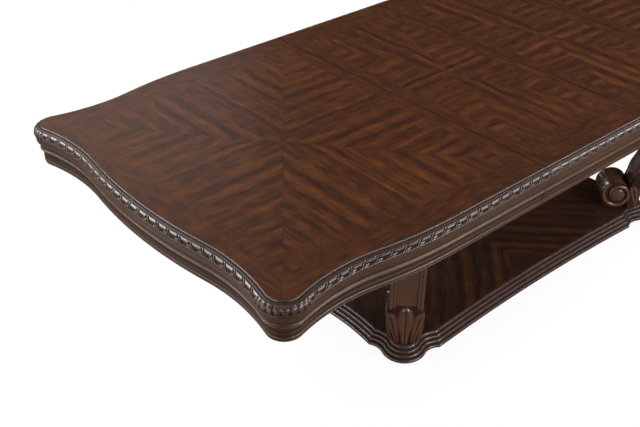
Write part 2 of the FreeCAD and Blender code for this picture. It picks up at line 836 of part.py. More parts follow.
def leg():
    """Leg drawn with its outward diagonal along +X."""
    foot_centre = foot_front - foot_radius
    foot = Part.makeCylinder(foot_radius, foot_height, Vector(foot_centre, 0, plinth_height))
    foot_top = plinth_height + foot_height
    front_half = box(foot_centre, foot_front, -foot_radius, foot_radius, plinth_height, foot_top)
    foot = foot.common(front_half)
    low, high = [volute(*place) for place in volute_places()]
    heel = box(low_volute_out, foot_centre, -leg_width / 2, leg_width / 2,
               plinth_height, plinth_height + low_volute_radius)
    solid = stem().fuse([foot, heel])
    solid = solid.cut(level_barrel(low_volute_out, plinth_height + low_volute_radius, low_volute_radius,
                                   -volute_width, volute_width))
    solid = solid.fuse([low, high]).removeSplitter()
    for out in leg_bolt_outs:
        solid = solid.cut(post(out, 0, plinth_height, plinth_height + bolt_bite, bolt_hole_radius))
    for out in head_bolt_outs:
        solid = solid.cut(post(out, 0, leg_top - bolt_bite, leg_top, bolt_hole_radius))
    return solid


def buttons():
    """Turned buttons in the recesses of one leg's volutes."""
    solids = []
    seat = volute_width / 2 - volute_recess
    for out, z, radius in volute_places():
        for y_sign in (-1, 1):
            inner = y_sign * seat
            outer = y_sign * (seat + button_thickness)
            button = level_barrel(out, z, button_radius, min(inner, outer), max(inner, outer))
            rims = [edge for edge in button.Edges if edge.Closed]
            outer_rim = max(rims, key=lambda edge: y_sign * edge.CenterOfMass.y)
            solids.append(button.makeFillet(button_edge, [outer_rim]))
    return solids


def bolt(place, head_z, tip_z):
    """Bolt with its head at head_z, pointing to tip_z."""
    sense = 1 if tip_z > head_z else -1
    head_end = head_z - sense * bolt_head_height
    shank = post(place.x, place.y, min(head_end, tip_z), max(head_end, tip_z), bolt_radius)
    head = post(place.x, place.y, min(head_end, head_z), max(head_end, head_z), bolt_head_radius)
    return shank.fuse(head).removeSplitter()


def build_legs():
    drawn = leg()
    drawn_buttons = buttons()
    standing_buttons = []
    foot_bolts = []
    head_bolts = []
    for x_sign, y_sign in quarter_signs:
        save("leg_" + corner_names[(x_sign, y_sign)], stand_leg(drawn, x_sign, y_sign))
        standing_buttons += [stand_leg(button, x_sign, y_sign) for button in drawn_buttons]
        for out in leg_bolt_outs:
            bolt_tip = plinth_height + bolt_bite
            foot_bolts.append(bolt(on_leg(x_sign, y_sign, out), plinth_panel_bottom, bolt_tip))
        for out in head_bolt_outs:
            head_seat = guide_bottom - bolt_head_height
            head_bolts.append(bolt(on_leg(x_sign, y_sign, out), head_seat, leg_top - bolt_bite))
    save("volute_buttons", *standing_buttons)
    save("leg_foot_bolts", *foot_bolts)
    save("leg_head_bolts", *head_bolts)


# Frame, guides and equaliser bridge

def build_frame():
    half_width = cross_frame_width / 2
    half_span = frame_y + cross_frame_width / 2 + cross_frame_overhang
    for side, x_sign in (("left", -1), ("right", 1)):
        rail = box(x_sign * frame_x - half_width, x_sign * frame_x + half_width, -half_span, half_span,
                   leg_top, guide_bottom)
        for y_sign in (-1, 1):
            for out in head_bolt_outs:
                place = on_leg(x_sign, y_sign, out)
                rail = rail.cut(post(place.x, place.y, leg_top, guide_bottom, bolt_hole_radius))
                rail = rail.cut(post(place.x, place.y, guide_bottom - bolt_head_height, guide_bottom,
                                     bolt_head_radius + bolt_clearance))
        save("frame_rail_" + side, rail)
    inner_x = frame_x - half_width
    inner_y = frame_y - frame_rail_thickness / 2
    outer_y = frame_y + frame_rail_thickness / 2
    save("frame_rail_front", box(-inner_x, inner_x, -outer_y, -inner_y, leg_top, guide_bottom))
    save("frame_rail_back", box(-inner_x, inner_x, inner_y, outer_y, leg_top, guide_bottom))
    bridge = box(-bridge_width / 2, bridge_width / 2, -inner_y, inner_y, leg_top, guide_bottom)
    save("pinion_bridge", bridge.cut(post(0, 0, guide_bottom - axle_depth, guide_bottom, axle_radius)))
    save("pinion_axle", axle())
    save("equaliser_pinion", pinion())
    guide_end = frame_x + half_width + guide_overhang
    groove_middle = (guide_top + guide_bottom) / 2
    for side, y_sign in (("front", -1), ("back", 1)):
        middle = y_sign * guide_y
        guide = box(-guide_end, guide_end, middle - guide_width / 2, middle + guide_width / 2,
                    guide_bottom, guide_top)
        for face_sign in (-1, 1):
            face = middle + face_sign * guide_width / 2
            inside = face - face_sign * groove_depth
            guide = guide.cut(box(-guide_end, guide_end, min(face, inside), max(face, inside),
                                  groove_middle - groove_height / 2, groove_middle + groove_height / 2))
        save("slide_guide_" + side, guide)


os.makedirs("parts", exist_ok=True)
build_plinth()
build_legs()
build_frame()
build_half("left")
build_half("right")
build_leaf("left")
build_leaf("right")
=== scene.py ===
import json
import math

import bmesh
import bpy
import numpy as np
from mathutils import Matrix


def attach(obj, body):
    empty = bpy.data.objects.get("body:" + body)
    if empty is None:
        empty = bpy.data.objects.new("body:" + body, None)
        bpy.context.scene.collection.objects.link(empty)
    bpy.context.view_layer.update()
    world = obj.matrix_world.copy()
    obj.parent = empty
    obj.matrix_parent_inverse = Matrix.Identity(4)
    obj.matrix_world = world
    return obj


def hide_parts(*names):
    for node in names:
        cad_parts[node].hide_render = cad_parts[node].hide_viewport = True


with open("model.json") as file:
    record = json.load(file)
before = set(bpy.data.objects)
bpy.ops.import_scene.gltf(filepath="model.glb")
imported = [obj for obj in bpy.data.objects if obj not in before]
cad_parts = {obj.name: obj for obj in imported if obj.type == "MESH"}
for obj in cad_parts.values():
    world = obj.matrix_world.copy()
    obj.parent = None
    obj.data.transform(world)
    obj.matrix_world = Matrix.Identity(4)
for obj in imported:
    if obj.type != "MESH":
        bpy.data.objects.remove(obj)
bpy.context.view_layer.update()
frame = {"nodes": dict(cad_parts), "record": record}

# Extending dining table with a carved edge, on scroll legs and a reeded plinth.
# Shapes are worked out in millimetres, in the part's own frame, and turned into metres when a mesh is made.
MM = 0.001

# Table top
TABLE_HEIGHT = 762.0
LEAF_WIDTH = 457.0
HALF_LENGTH = 894.0
SIDE_HALF_WIDTH = 556.0
SEAM_GAP = 0.4
# Relief at the leaf seams: a painted shade line where the joint's groove would be shaded.
SEAM_SHADE = 0.1
EDGE_DEPTH = 30.0
APRON_DEPTH = 116.0
APRON_BACK = 18.0
SHOULDER_FROM_END = 538.0
SIDE_DIP_FROM_END = 211.0
SIDE_DIP_DEPTH = 30.0
SIDE_DIP_RADIUS = 560.0
EAR_RADIUS = 43.0
END_DIP_DEPTH = 27.0
END_DIP_Y = 340.0
END_DIP_RADIUS = 600.0
END_X = LEAF_WIDTH + HALF_LENGTH
EDGE_STEP = 1.3
CARVING_REPEAT = 40.0
CARVING_SLANT = 0.80
CARVING_FLOOR = 4.2
# Places in one repeat of the carving, whose middle is 0 and whose ends are -0.5 and 0.5
SLIT_PLACE = 0.395
COMB_CUTS = (-0.28, -0.16, -0.04)
EAR_FLUTE = 12.4
EAR_FAN = 62.0
EAR_FAN_FADE = 12.0

# Veneer fields: centre and half length along X, half width along Y
FIELD_HALF_WIDTH = 470.0
FIELD_LINE = 1.6
STRIP_WIDTH = 56.0
STRIPE_FADE = 70.0
CALM_STRIPES = 0.15
SEAM_LINE = 2.4
SEAM_LINE_CORE = 0.8
END_FIELD_CENTRE = 890.0
END_FIELD_HALF = 386.0
LEAF_FIELD_CENTRE = 226.0
LEAF_FIELD_HALF = 182.0
FIELDS_END = END_FIELD_CENTRE + END_FIELD_HALF

# Plinth
PLINTH_HEIGHT = 50.0
PLINTH_BOTTOM = 3.0
LEG_X = 604.0
LEG_Y = 226.0
LOBE_RADIUS = 70.0
NECK_RADIUS = 60.0
PLINTH_SIDE_HOLLOW = 16.0
PLINTH_END_HOLLOW = 12.0
SIDE_CUSP = (LEG_X - 92.0, LEG_Y + 71.0)
END_CUSP = (LEG_X + 68.0, LEG_Y - 86.0)
PLINTH_EDGE_WIDTH = 32.0
REED_COUNT = 4
REED_OVERHANG = 3.0
REED_NOSE = 5.2
REED_STEP = (PLINTH_EDGE_WIDTH + REED_OVERHANG) / REED_COUNT
REED_RISE = (PLINTH_HEIGHT - PLINTH_BOTTOM) / REED_COUNT

# Scroll legs, in the leg's own plane: out from the lobe centre, to the side, and up
LEG_TOP = 646.7
LEG_HALF_WIDTH = 52.0
STEM_PANEL_SINK = 3.6
# Beads beside the stem's panel: distance from its middle line and half width
STEM_BEADS = [(36.5, 4.6), (46.2, 5.6)]
FOOT_MIDDLE = -20.0
FOOT_TOP = 206.0
LEAF_DEPTH = 9.0
# Lobes of the foot's leaf: middle angle, half width, top as a share of the foot's height, relief and curl
LEAF_LOBES = [(0.0, 0.54, 0.97, 7.6, 6.0), (0.80, 0.40, 0.80, 6.4, 2.8), (-0.80, 0.40, 0.80, 6.4, 2.8),
              (1.42, 0.36, 0.62, 6.0, 1.6), (-1.42, 0.36, 0.62, 6.0, 1.6)]
VOLUTE_HALF_WIDTH = 58.0
LOW_VOLUTE = (-60.0, 109.0, 55.0)
LOW_SHIFT = -9.0
HIGH_VOLUTE = (168.0, 584.7, 43.0)
HIGH_SHIFT = 3.0
SCROLL_RIDGE = 7.5
VOLUTE_SPOTS = 120
BUTTON_RADIUS = 24.0
BUTTON_SPOTS = 48
BUTTON_SEAT = 53.0
STEM_INNER = [(-34.0, 106.0), (-9.0, 199.0), (12.0, 250.0), (30.0, 318.5), (52.0, 420.0), (62.0, 500.5),
              (52.0, 626.7), (52.0, LEG_TOP)]
STEM_OUTER = [(34.0, 106.0), (40.0, 199.0), (54.0, 259.0), (78.0, 339.4), (110.0, 441.0), (140.0, 530.0),
              (160.0, 626.7), (160.0, LEG_TOP)]
HALVES = {"left": -1, "right": 1}
CORNERS = {"front_left": (-1, -1), "front_right": (1, -1), "back_left": (-1, 1), "back_right": (1, 1)}

# Camera, from the photograph's vanishing points
CAMERA_PLACE = (-2.3798, -1.8610, 2.0954)
CAMERA_TILT = 56.6306
CAMERA_HEADING = -41.0972
CAMERA_LENS = 56.0727

# Studio: how much of the white floor the camera and glossy surfaces see, and how strong the world is as light
FLOOR_WHITE = 0.86
FLOOR_WHITE_IN_GLOSS = 0.06
WORLD_LIGHT = 0.03
WARM_WHITE = (1.0, 0.98, 0.97)
COOL_WHITE = (0.98, 0.98, 1.0)
COOLER_WHITE = (0.97, 0.97, 1.0)
# Lamps: name, place, aim, width and height in metres, watts, colour
LAMPS = [
    ("right_softbox", (2.3, -2.2, 3.3), (-0.4, -0.5, 0.75), (4.4, 1.4), 70.0, (1.0, 0.99, 0.98)),
    ("crest_softbox", (2.7, -1.2, 2.8), (-0.2, -0.56, 0.75), (0.8, 2.6), 60.0, COOLER_WHITE),
    ("back_softbox", (-2.7, 2.9, 3.1), (-1.2, 0.0, 0.75), (2.6, 1.5), 165.0, COOL_WHITE),
    ("top_softbox", (-1.4, 1.3, 2.8), (-0.6, 0.2, 0.75), (1.4, 1.4), 26.0, (1.0, 0.98, 0.95)),
    ("far_card", (0.3, 3.7, 2.6), (-0.9, 0.4, 0.75), (2.4, 1.2), 10.0, COOL_WHITE),
    ("left_softbox", (-3.7, 1.0, 1.6), (-1.2, 0.1, 0.6), (1.6, 1.2), 17.0, WARM_WHITE),
    ("front_softbox", (-0.6, -4.2, 1.5), (-0.2, 0.0, 0.4), (2.4, 1.4), 68.0, WARM_WHITE),
    ("low_softbox", (-3.4, -0.6, 0.5), (0.4, -0.2, 0.25), (1.4, 0.7), 16.0, COOL_WHITE),
    ("left_card", (-3.3, 2.2, 1.4), (-1.37, 0.0, 0.65), (1.6, 0.8), 6.0, COOLER_WHITE),
    ("back_card", (1.2, 2.6, 0.40), (0.5, -0.2, 0.2), (2.0, 0.4), 16.0, COOL_WHITE),
    ("reed_card", (0.6, -2.95, 1.4), (-1.0, -0.57, 0.65), (0.8, 0.8), 38.0, COOLER_WHITE),
    ("bar_card", (1.1, -2.25, 2.3), (-0.7, -0.57, 0.75), (0.8, 0.3), 9.0, COOLER_WHITE),
    ("low_card", (-2.1, 0.4, 0.03), (-1.35, 0.2, 0.7), (1.2, 2.0), 6.5, COOLER_WHITE),
]


# Node helpers

class Nodes:
    """Adds nodes to one material and links them; a value is a number, a colour or another node's socket."""

    def __init__(self, name):
        self.material = bpy.data.materials.new(name)
        self.material.use_nodes = True
        self.tree = self.material.node_tree
        self.tree.nodes.clear()
        self.place = self.add("ShaderNodeTexCoord").outputs["Object"]

    def add(self, kind, values=None, **settings):
        node = self.tree.nodes.new(kind)
        for key, value in settings.items():
            setattr(node, key, value)
        for key, value in (values or {}).items():
            self.put(node.inputs[key], value)
        return node

    def put(self, socket, value):
        if isinstance(value, bpy.types.NodeSocket):
            self.tree.links.new(value, socket)
        elif isinstance(value, (tuple, list)) and socket.type == "RGBA":
            socket.default_value = (*value, 1.0)
        else:
            socket.default_value = value

    def math(self, operation, *values):
        return self.add("ShaderNodeMath", dict(enumerate(values)), operation=operation).outputs[0]

    def smooth(self, value, start, end):
        node = self.add("ShaderNodeMapRange", {"Value": value, "From Min": start, "From Max": end},
                        interpolation_type="SMOOTHSTEP")
        return node.outputs["Result"]

    def spread(self, value, low, high):
        """Noise, which keeps near its middle, spread over a range."""
        node = self.add("ShaderNodeMapRange", {"Value": value, "From Min": 0.3, "From Max": 0.7,
                                               "To Min": low, "To Max": high})
        return node.outputs["Result"]

    def axes(self):
        node = self.add("ShaderNodeSeparateXYZ", {"Vector": self.place})
        return node.outputs["X"], node.outputs["Y"], node.outputs["Z"]

    def vector(self, x, y, z):
        return self.add("ShaderNodeCombineXYZ", {"X": x, "Y": y, "Z": z}).outputs["Vector"]

    def scaled(self, scale):
        node = self.add("ShaderNodeVectorMath", {0: self.place, 1: scale}, operation="MULTIPLY")
        return node.outputs["Vector"]

    def noise(self, vector, scale, detail=2.0, roughness=0.5, distortion=0.0):
        node = self.add("ShaderNodeTexNoise", {"Vector": vector, "Scale": scale, "Detail": detail,
                                               "Roughness": roughness, "Distortion": distortion})
        return node.outputs["Fac"]

    def noise_line(self, value, scale, detail=1.0):
        node = self.add("ShaderNodeTexNoise", {"W": value, "Scale": scale, "Detail": detail},
                        noise_dimensions="1D")
        return node.outputs["Fac"]

    def choose(self, switch, off, on):
        return self.add("ShaderNodeMix", {0: switch, 2: off, 3: on}, data_type="FLOAT").outputs[0]

    def blend(self, share, first, second, kind="MIX"):
        node = self.add("ShaderNodeMix", {0: share, 6: first, 7: second}, data_type="RGBA", blend_type=kind)
        return node.outputs[2]

    def ramp(self, value, stops):
        node = self.add("ShaderNodeValToRGB", {"Fac": value})
        elements = node.color_ramp.elements
        while len(elements) < len(stops):
            elements.new(1.0)
        for element, (position, colour) in zip(elements, stops):
            element.position = position
            element.color = (*colour, 1.0)
        return node.outputs["Color"]

    def attribute(self, name):
        return self.add("ShaderNodeAttribute", attribute_name=name).outputs["Fac"]

    def bump(self, height, strength, distance):
        node = self.add("ShaderNodeBump", {"Strength": strength, "Distance": distance, "Height": height})
        return node.outputs["Normal"]

    def finish(self, **values):
        shader = self.add("ShaderNodeBsdfPrincipled", {key.replace("_", " "): value
                                                       for key, value in values.items()})
        self.add("ShaderNodeOutputMaterial", {"Surface": shader.outputs["BSDF"]})
        return self.material


# Materials

FIELD_LINE_COLOUR = (0.020, 0.009, 0.006)
JOIN_LINE_COLOUR = (0.014, 0.007, 0.005)
SEAM_LINE_COLOUR = (0.008, 0.004, 0.003)
VENEER_STOPS = [
    (0.00, (0.027, 0.0104, 0.0064)),
    (0.35, (0.047, 0.0168, 0.0082)),
    (0.65, (0.080, 0.0270, 0.0096)),
    (1.00, (0.122, 0.0425, 0.0112)),
]


def veneer_colour(nodes, across, along, seed, striped=1.0):
    """Colour, roughness and bump height of veneer, from metres across and along its strips.

    striped is 1 for full stripes and less for calmer wood.
    """
    strips = nodes.math("DIVIDE", across, STRIP_WIDTH * MM)
    wander = nodes.noise(nodes.vector(across, along, seed), 7.0, detail=3.0)
    strips = nodes.math("MULTIPLY_ADD", wander, 0.5, strips)
    wave = nodes.math("SINE", nodes.math("MULTIPLY", strips, 2 * math.pi))
    random_tone = nodes.noise_line(nodes.math("ADD", strips, seed * 7.3), 1.7, detail=2.0)
    grain_place = nodes.vector(across, nodes.math("MULTIPLY", along, 0.06), seed)
    grain = nodes.noise(grain_place, 160.0, detail=4.0, roughness=0.65, distortion=0.3)
    fine_place = nodes.vector(across, nodes.math("MULTIPLY", along, 0.04), seed)
    pores = nodes.noise(fine_place, 800.0, detail=2.0)
    flecks = nodes.noise(nodes.vector(across, nodes.math("MULTIPLY", along, 0.3), seed), 60.0, detail=3.0)
    clouds = nodes.noise(nodes.vector(across, along, seed), 5.0, detail=2.0)
    stripes = nodes.math("MULTIPLY_ADD", wave, 0.12, nodes.spread(random_tone, -0.20, 0.20))
    tone = nodes.math("MULTIPLY_ADD", stripes, striped, 0.44)
    tone = nodes.math("ADD", tone, nodes.spread(grain, -0.15, 0.15))
    tone = nodes.math("ADD", tone, nodes.spread(flecks, -0.22, 0.22))
    tone = nodes.math("ADD", tone, nodes.spread(clouds, -0.08, 0.08))
    tone = nodes.math("SUBTRACT", tone, nodes.math("MULTIPLY", nodes.smooth(pores, 0.58, 0.72), 0.10))
    colour = nodes.ramp(tone, VENEER_STOPS)
    rough = nodes.spread(grain, 0.29, 0.37)
    height = nodes.math("ADD", grain, nodes.math("MULTIPLY", pores, 0.6))
    return colour, rough, height


def top_veneer(name, centre, half_length, seed):
    """Panel veneer: a field in four triangles, striped towards its middle, and a border round it."""
    nodes = Nodes(name)
    table_x, y, _ = nodes.axes()
    x = nodes.math("SUBTRACT", table_x, centre * MM)
    far_x = nodes.math("ABSOLUTE", x)
    far_y = nodes.math("ABSOLUTE", y)
    share_x = nodes.math("DIVIDE", far_x, half_length * MM)
    share_y = nodes.math("DIVIDE", far_y, FIELD_HALF_WIDTH * MM)
    side_triangle = nodes.math("GREATER_THAN", share_y, share_x)
    edge = nodes.math("MAXIMUM", nodes.math("SUBTRACT", far_x, half_length * MM),
                      nodes.math("SUBTRACT", far_y, FIELD_HALF_WIDTH * MM))
    in_border = nodes.math("GREATER_THAN", edge, 0.0)
    across = nodes.choose(side_triangle, y, x)
    along = nodes.choose(side_triangle, x, y)
    border_across = nodes.math("ADD", nodes.choose(side_triangle, x, y), 3.1)
    from_middle = nodes.math("ABSOLUTE", table_x)
    rim = nodes.math("MAXIMUM", nodes.math("SUBTRACT", far_y, FIELD_HALF_WIDTH * MM),
                     nodes.math("SUBTRACT", from_middle, FIELDS_END * MM))
    fade = nodes.choose(in_border, nodes.smooth(rim, 0.0, -STRIPE_FADE * MM), CALM_STRIPES)
    colour, rough, height = veneer_colour(nodes, nodes.choose(in_border, across, border_across),
                                          nodes.choose(in_border, along, across), seed,
                                          nodes.math("MAXIMUM", fade, CALM_STRIPES))
    colour = nodes.blend(nodes.math("MULTIPLY", in_border, 0.08), colour, FIELD_LINE_COLOUR)
    line = nodes.smooth(nodes.math("ABSOLUTE", edge), FIELD_LINE * MM, 0.4 * FIELD_LINE * MM)
    join = nodes.math("ABSOLUTE", nodes.math("SUBTRACT", share_x, share_y))
    join_line = nodes.math("MULTIPLY", nodes.smooth(join, 0.006, 0.001),
                           nodes.math("SUBTRACT", 1.0, in_border))
    colour = nodes.blend(nodes.math("MULTIPLY", line, 0.25), colour, FIELD_LINE_COLOUR)
    colour = nodes.blend(nodes.math("MULTIPLY", join_line, 0.25), colour, JOIN_LINE_COLOUR)
    to_leaf_end = nodes.math("ABSOLUTE", nodes.math("SUBTRACT", from_middle, LEAF_WIDTH * MM))
    to_seam = nodes.math("MINIMUM", from_middle, to_leaf_end)
    seam_line = nodes.smooth(to_seam, SEAM_LINE * MM, SEAM_LINE_CORE * MM)
    colour = nodes.blend(nodes.math("MULTIPLY", seam_line, 0.9), colour, SEAM_LINE_COLOUR)
    return nodes.finish(Base_Color=colour, Roughness=rough, Normal=nodes.bump(height, 0.10, 0.0004),
                        Specular_IOR_Level=0.20)


def plinth_veneer():
    """Plinth veneer: slanting strips that meet in chevrons on the middle line."""
    nodes = Nodes("plinth_veneer")
    x, y, _ = nodes.axes()
    far_x = nodes.math("ABSOLUTE", x)
    diagonal = math.sqrt(0.5)
    across = nodes.math("MULTIPLY", nodes.math("ADD", far_x, y), diagonal)
    along = nodes.math("MULTIPLY", nodes.math("SUBTRACT", far_x, y), diagonal)
    colour, rough, height = veneer_colour(nodes, across, along, 5.7)
    colour = nodes.blend(1.0, colour, (0.62, 0.72, 0.90), "MULTIPLY")
    return nodes.finish(Base_Color=colour, Roughness=rough, Normal=nodes.bump(height, 0.10, 0.0004),
                        Specular_IOR_Level=0.20)


def dark_wood(name, low, middle, high, grain_scale, roughness, gloss):
    """Stained wood for mouldings and carving; the attribute relief is 0 in cuts and 1 on high places. Low
    relief darkens the colour as painted shade; high relief turns it pale as rubbed wear that also works as a
    painted highlight.
    """
    nodes = Nodes(name)
    grain = nodes.noise(nodes.scaled(grain_scale), 1.0, detail=4.0, roughness=0.6)
    mottle = nodes.noise(nodes.place, 14.0, detail=3.0)
    rub = nodes.noise(nodes.place, 45.0, detail=3.0)
    relief = nodes.attribute("relief")
    tone = nodes.math("ADD", nodes.spread(grain, 0.34, 0.54), nodes.spread(mottle, -0.06, 0.14))
    colour = nodes.ramp(tone, [(0.0, low), (0.5, middle), (1.0, high)])
    # Painted shade: the colour is darkened where relief is low, in cuts and hollows.
    colour = nodes.blend(nodes.smooth(relief, 0.75, 0.25), colour, (0.35, 0.32, 0.34), "MULTIPLY")
    # Pale rubbed wear on high places, which also serves as a painted highlight.
    wear_and_highlight = nodes.math("MULTIPLY", nodes.smooth(relief, 0.86, 1.0), nodes.spread(rub, 0.1, 0.6))
    colour = nodes.blend(wear_and_highlight, colour, (0.105, 0.074, 0.062))
    in_cut = nodes.smooth(relief, 0.7, 0.2)
    rough = nodes.math("ADD", nodes.spread(rub, -0.05, 0.05), roughness)
    rough = nodes.math("MULTIPLY_ADD", in_cut, 0.35, rough)
    gloss = nodes.math("MULTIPLY", nodes.math("SUBTRACT", 1.0, nodes.math("MULTIPLY", in_cut, 0.8)), gloss)
    height = nodes.math("ADD", grain, nodes.math("MULTIPLY", rub, 0.4))
    return nodes.finish(Base_Color=colour, Roughness=rough, Normal=nodes.bump(height, 0.04, 0.0005),
                        Specular_IOR_Level=gloss)


def plain_wood():
    """Sanded wood of the hidden frame, rails and slides."""
    nodes = Nodes("inner_wood")
    grain = nodes.noise(nodes.scaled((6.0, 90.0, 90.0)), 1.0, detail=4.0, distortion=0.4)
    rings = nodes.noise(nodes.scaled((1.2, 22.0, 22.0)), 1.0, detail=2.0)
    tone = nodes.math("ADD", nodes.spread(grain, 0.1, 0.6), nodes.spread(rings, -0.1, 0.35))
    colour = nodes.ramp(tone, [
        (0.0, (0.20, 0.105, 0.050)),
        (0.5, (0.33, 0.19, 0.095)),
        (1.0, (0.45, 0.28, 0.15)),
    ])
    return nodes.finish(Base_Color=colour, Roughness=nodes.spread(grain, 0.55, 0.72),
                        Normal=nodes.bump(grain, 0.15, 0.0006))


def plated_steel():
    nodes = Nodes("plated_steel")
    brushed = nodes.noise(nodes.scaled((40.0, 900.0, 900.0)), 1.0, detail=2.0)
    patches = nodes.noise(nodes.place, 60.0, detail=3.0)
    colour = nodes.ramp(nodes.spread(patches, 0.0, 1.0), [
        (0.0, (0.40, 0.39, 0.38)),
        (1.0, (0.62, 0.62, 0.60)),
    ])
    return nodes.finish(Base_Color=colour, Metallic=1.0, Roughness=nodes.spread(brushed, 0.26, 0.42),
                        Normal=nodes.bump(brushed, 0.08, 0.0002))


def glide_plastic():
    nodes = Nodes("glide_plastic")
    grain = nodes.noise(nodes.place, 500.0, detail=2.0)
    scuffs = nodes.noise(nodes.place, 70.0, detail=3.0)
    colour = nodes.ramp(nodes.spread(scuffs, 0.0, 1.0), [
        (0.0, (0.020, 0.020, 0.020)),
        (1.0, (0.050, 0.048, 0.045)),
    ])
    return nodes.finish(Base_Color=colour, Roughness=nodes.spread(scuffs, 0.45, 0.65),
                        Normal=nodes.bump(grain, 0.1, 0.0002))


moulding_wood = dark_wood("moulding_wood", (0.036, 0.0156, 0.0074), (0.073, 0.0322, 0.0142),
                          (0.114, 0.051, 0.023), (26.0, 26.0, 60.0), 0.33, 0.36)
carved_wood = dark_wood("carved_wood", (0.036, 0.0200, 0.0135), (0.068, 0.0390, 0.0260),
                        (0.105, 0.062, 0.042), (60.0, 60.0, 60.0), 0.27, 0.50)
plinth_wood = dark_wood("plinth_wood", (0.034, 0.0178, 0.0140), (0.064, 0.0345, 0.0270),
                        (0.098, 0.054, 0.042), (26.0, 26.0, 60.0), 0.20, 0.60)
# Painted light: the leg wood is given paler colours than the other wood to make up for the shade under the
# top.
leg_wood = dark_wood("leg_wood", (0.060, 0.0268, 0.0144), (0.112, 0.0484, 0.0250),
                     (0.160, 0.074, 0.038), (60.0, 60.0, 9.0), 0.21, 0.65)
inner_wood = plain_wood()
steel = plated_steel()
plastic = glide_plastic()


# Mesh helpers

def make_piece(name, points, faces, body, material, replaced, relief, sharp):
    """One mesh piece in metres, on its body, in place of the CAD nodes named."""
    mesh = bpy.data.meshes.new(name)
    mesh.from_pydata((np.asarray(points, float) * MM).tolist(), [], faces)
    work = bmesh.new()
    work.from_mesh(mesh)
    bmesh.ops.recalc_face_normals(work, faces=work.faces)
    work.to_mesh(mesh)
    work.free()
    attribute = mesh.attributes.new("relief", "FLOAT", "POINT")
    attribute.data.foreach_set("value", relief.astype(np.float32))
    mesh.polygons.foreach_set("use_smooth", np.ones(len(mesh.polygons), bool))
    mesh.set_sharp_from_angle(angle=math.radians(sharp))
    mesh.materials.append(material)
    piece = bpy.data.objects.new(name, mesh)
    bpy.context.scene.collection.objects.link(piece)
    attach(piece, body)
    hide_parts(*replaced)


def ring_faces(ring_count, ring_size, first):
    """Faces of a tube of rings, each ring a closed loop, with a flat cap at both ends."""
    faces = []
    for ring in range(ring_count - 1):
        here = first + ring * ring_size
        there = here + ring_size
        for spot in range(ring_size):
            after = (spot + 1) % ring_size
            faces.append((here + spot, here + after, there + after, there + spot))
    last = first + (ring_count - 1) * ring_size
    faces.append(tuple(range(first, first + ring_size)))
    faces.append(tuple(range(last + ring_size - 1, last - 1, -1)))
    return faces


class Shells:
    """Collects closed shells that make one piece."""

    def __init__(self):
        self.points = []
        self.faces = []
        self.relief = []
        self.count = 0

    def add(self, rings, relief):
        """A tube from an array of rings (ring, spot, xyz), with the relief of each point."""
        ring_count, ring_size = rings.shape[:2]
        self.faces += ring_faces(ring_count, ring_size, self.count)
        self.points.append(rings.reshape(-1, 3))
        self.relief.append(np.asarray(relief, float).reshape(-1))
        self.count += ring_count * ring_size

    def placed(self, change):
        """The same shells with every point changed."""
        copy = Shells()
        copy.points = [change(points) for points in self.points]
        copy.faces = self.faces
        copy.relief = self.relief
        copy.count = self.count
        return copy

    def piece(self, name, body, slot, material, replaced, sharp):
        make_piece(name, np.concatenate(self.points), self.faces, body, material, replaced,
                   np.concatenate(self.relief), sharp)


def smoothstep(value, start, end):
    share = np.clip((value - start) / (end - start), 0.0, 1.0)
    return share * share * (3.0 - 2.0 * share)


def hump(value, middle, width):
    return np.exp(-((value - middle) / width) ** 2)


def arc_through(start, via, end, count):
    """Points of the arc through three points, without its first point."""
    (ax, ay), (bx, by), (cx, cy) = start, via, end
    double = 2 * (ax * (by - cy) + bx * (cy - ay) + cx * (ay - by))
    a2, b2, c2 = ax * ax + ay * ay, bx * bx + by * by, cx * cx + cy * cy
    ox = (a2 * (by - cy) + b2 * (cy - ay) + c2 * (ay - by)) / double
    oy = (a2 * (cx - bx) + b2 * (ax - cx) + c2 * (bx - ax)) / double
    radius = math.hypot(ax - ox, ay - oy)
    first, middle, last = (math.atan2(y - oy, x - ox) for x, y in (start, via, end))
    turn = (last - first) % (2 * math.pi)
    if (middle - first) % (2 * math.pi) > turn:
        turn -= 2 * math.pi
    angles = first + turn * np.arange(1, count + 1) / count
    return [(ox + radius * math.cos(angle), oy + radius * math.sin(angle)) for angle in angles]


def section_points(steps):
    """Points and relief of a section from a start and its steps.

    A step is ("line", to, relief) or ("arc", via, to, count, relief).
    """
    points = [steps[0][:2]]
    relief = [steps[0][2]]
    for step in steps[1:]:
        added = [step[1]] if step[0] == "line" else arc_through(points[-1], *step[1:4])
        points += added
        relief += [step[-1]] * len(added)
    return np.array(points), np.array(relief)


# Outline of the top

def meeting_points(centre_a, radius_a, centre_b, radius_b):
    """Where two circles cross."""
    across = centre_b - centre_a
    gap = np.linalg.norm(across)
    along = (radius_a ** 2 - radius_b ** 2 + gap ** 2) / (2 * gap)
    aside = math.sqrt(radius_a ** 2 - along ** 2)
    ahead = across / gap
    square = np.array([-ahead[1], ahead[0]])
    middle = centre_a + ahead * along
    return [middle + square * aside, middle - square * aside]


def arc_run(centre, start, end, step=EDGE_STEP, count=None):
    """Points along the shorter arc round centre and the directions away from the centre."""
    first, last = start - centre, end - centre
    radius = np.linalg.norm(first)
    begin = math.atan2(first[1], first[0])
    turn = (math.atan2(last[1], last[0]) - begin + math.pi) % (2 * math.pi) - math.pi
    count = count or max(2, round(abs(turn) * radius / step))
    angles = begin + turn * np.arange(count + 1) / count
    away = np.stack([np.cos(angles), np.sin(angles)], 1)
    return centre + away * radius, away


def joined(runs):
    """One path from several runs of points and normals that meet end to end."""
    points = np.concatenate([runs[0][0]] + [run[0][1:] for run in runs[1:]])
    normals = np.concatenate([runs[0][1]] + [run[1][1:] for run in runs[1:]])
    return points, normals


def reverse(run):
    return run[0][::-1], run[1][::-1]


def inward(run):
    return run[0], -run[1]


def flipped(run, x_sign, y_sign):
    signs = np.array([x_sign, y_sign])
    return run[0] * signs, run[1] * signs


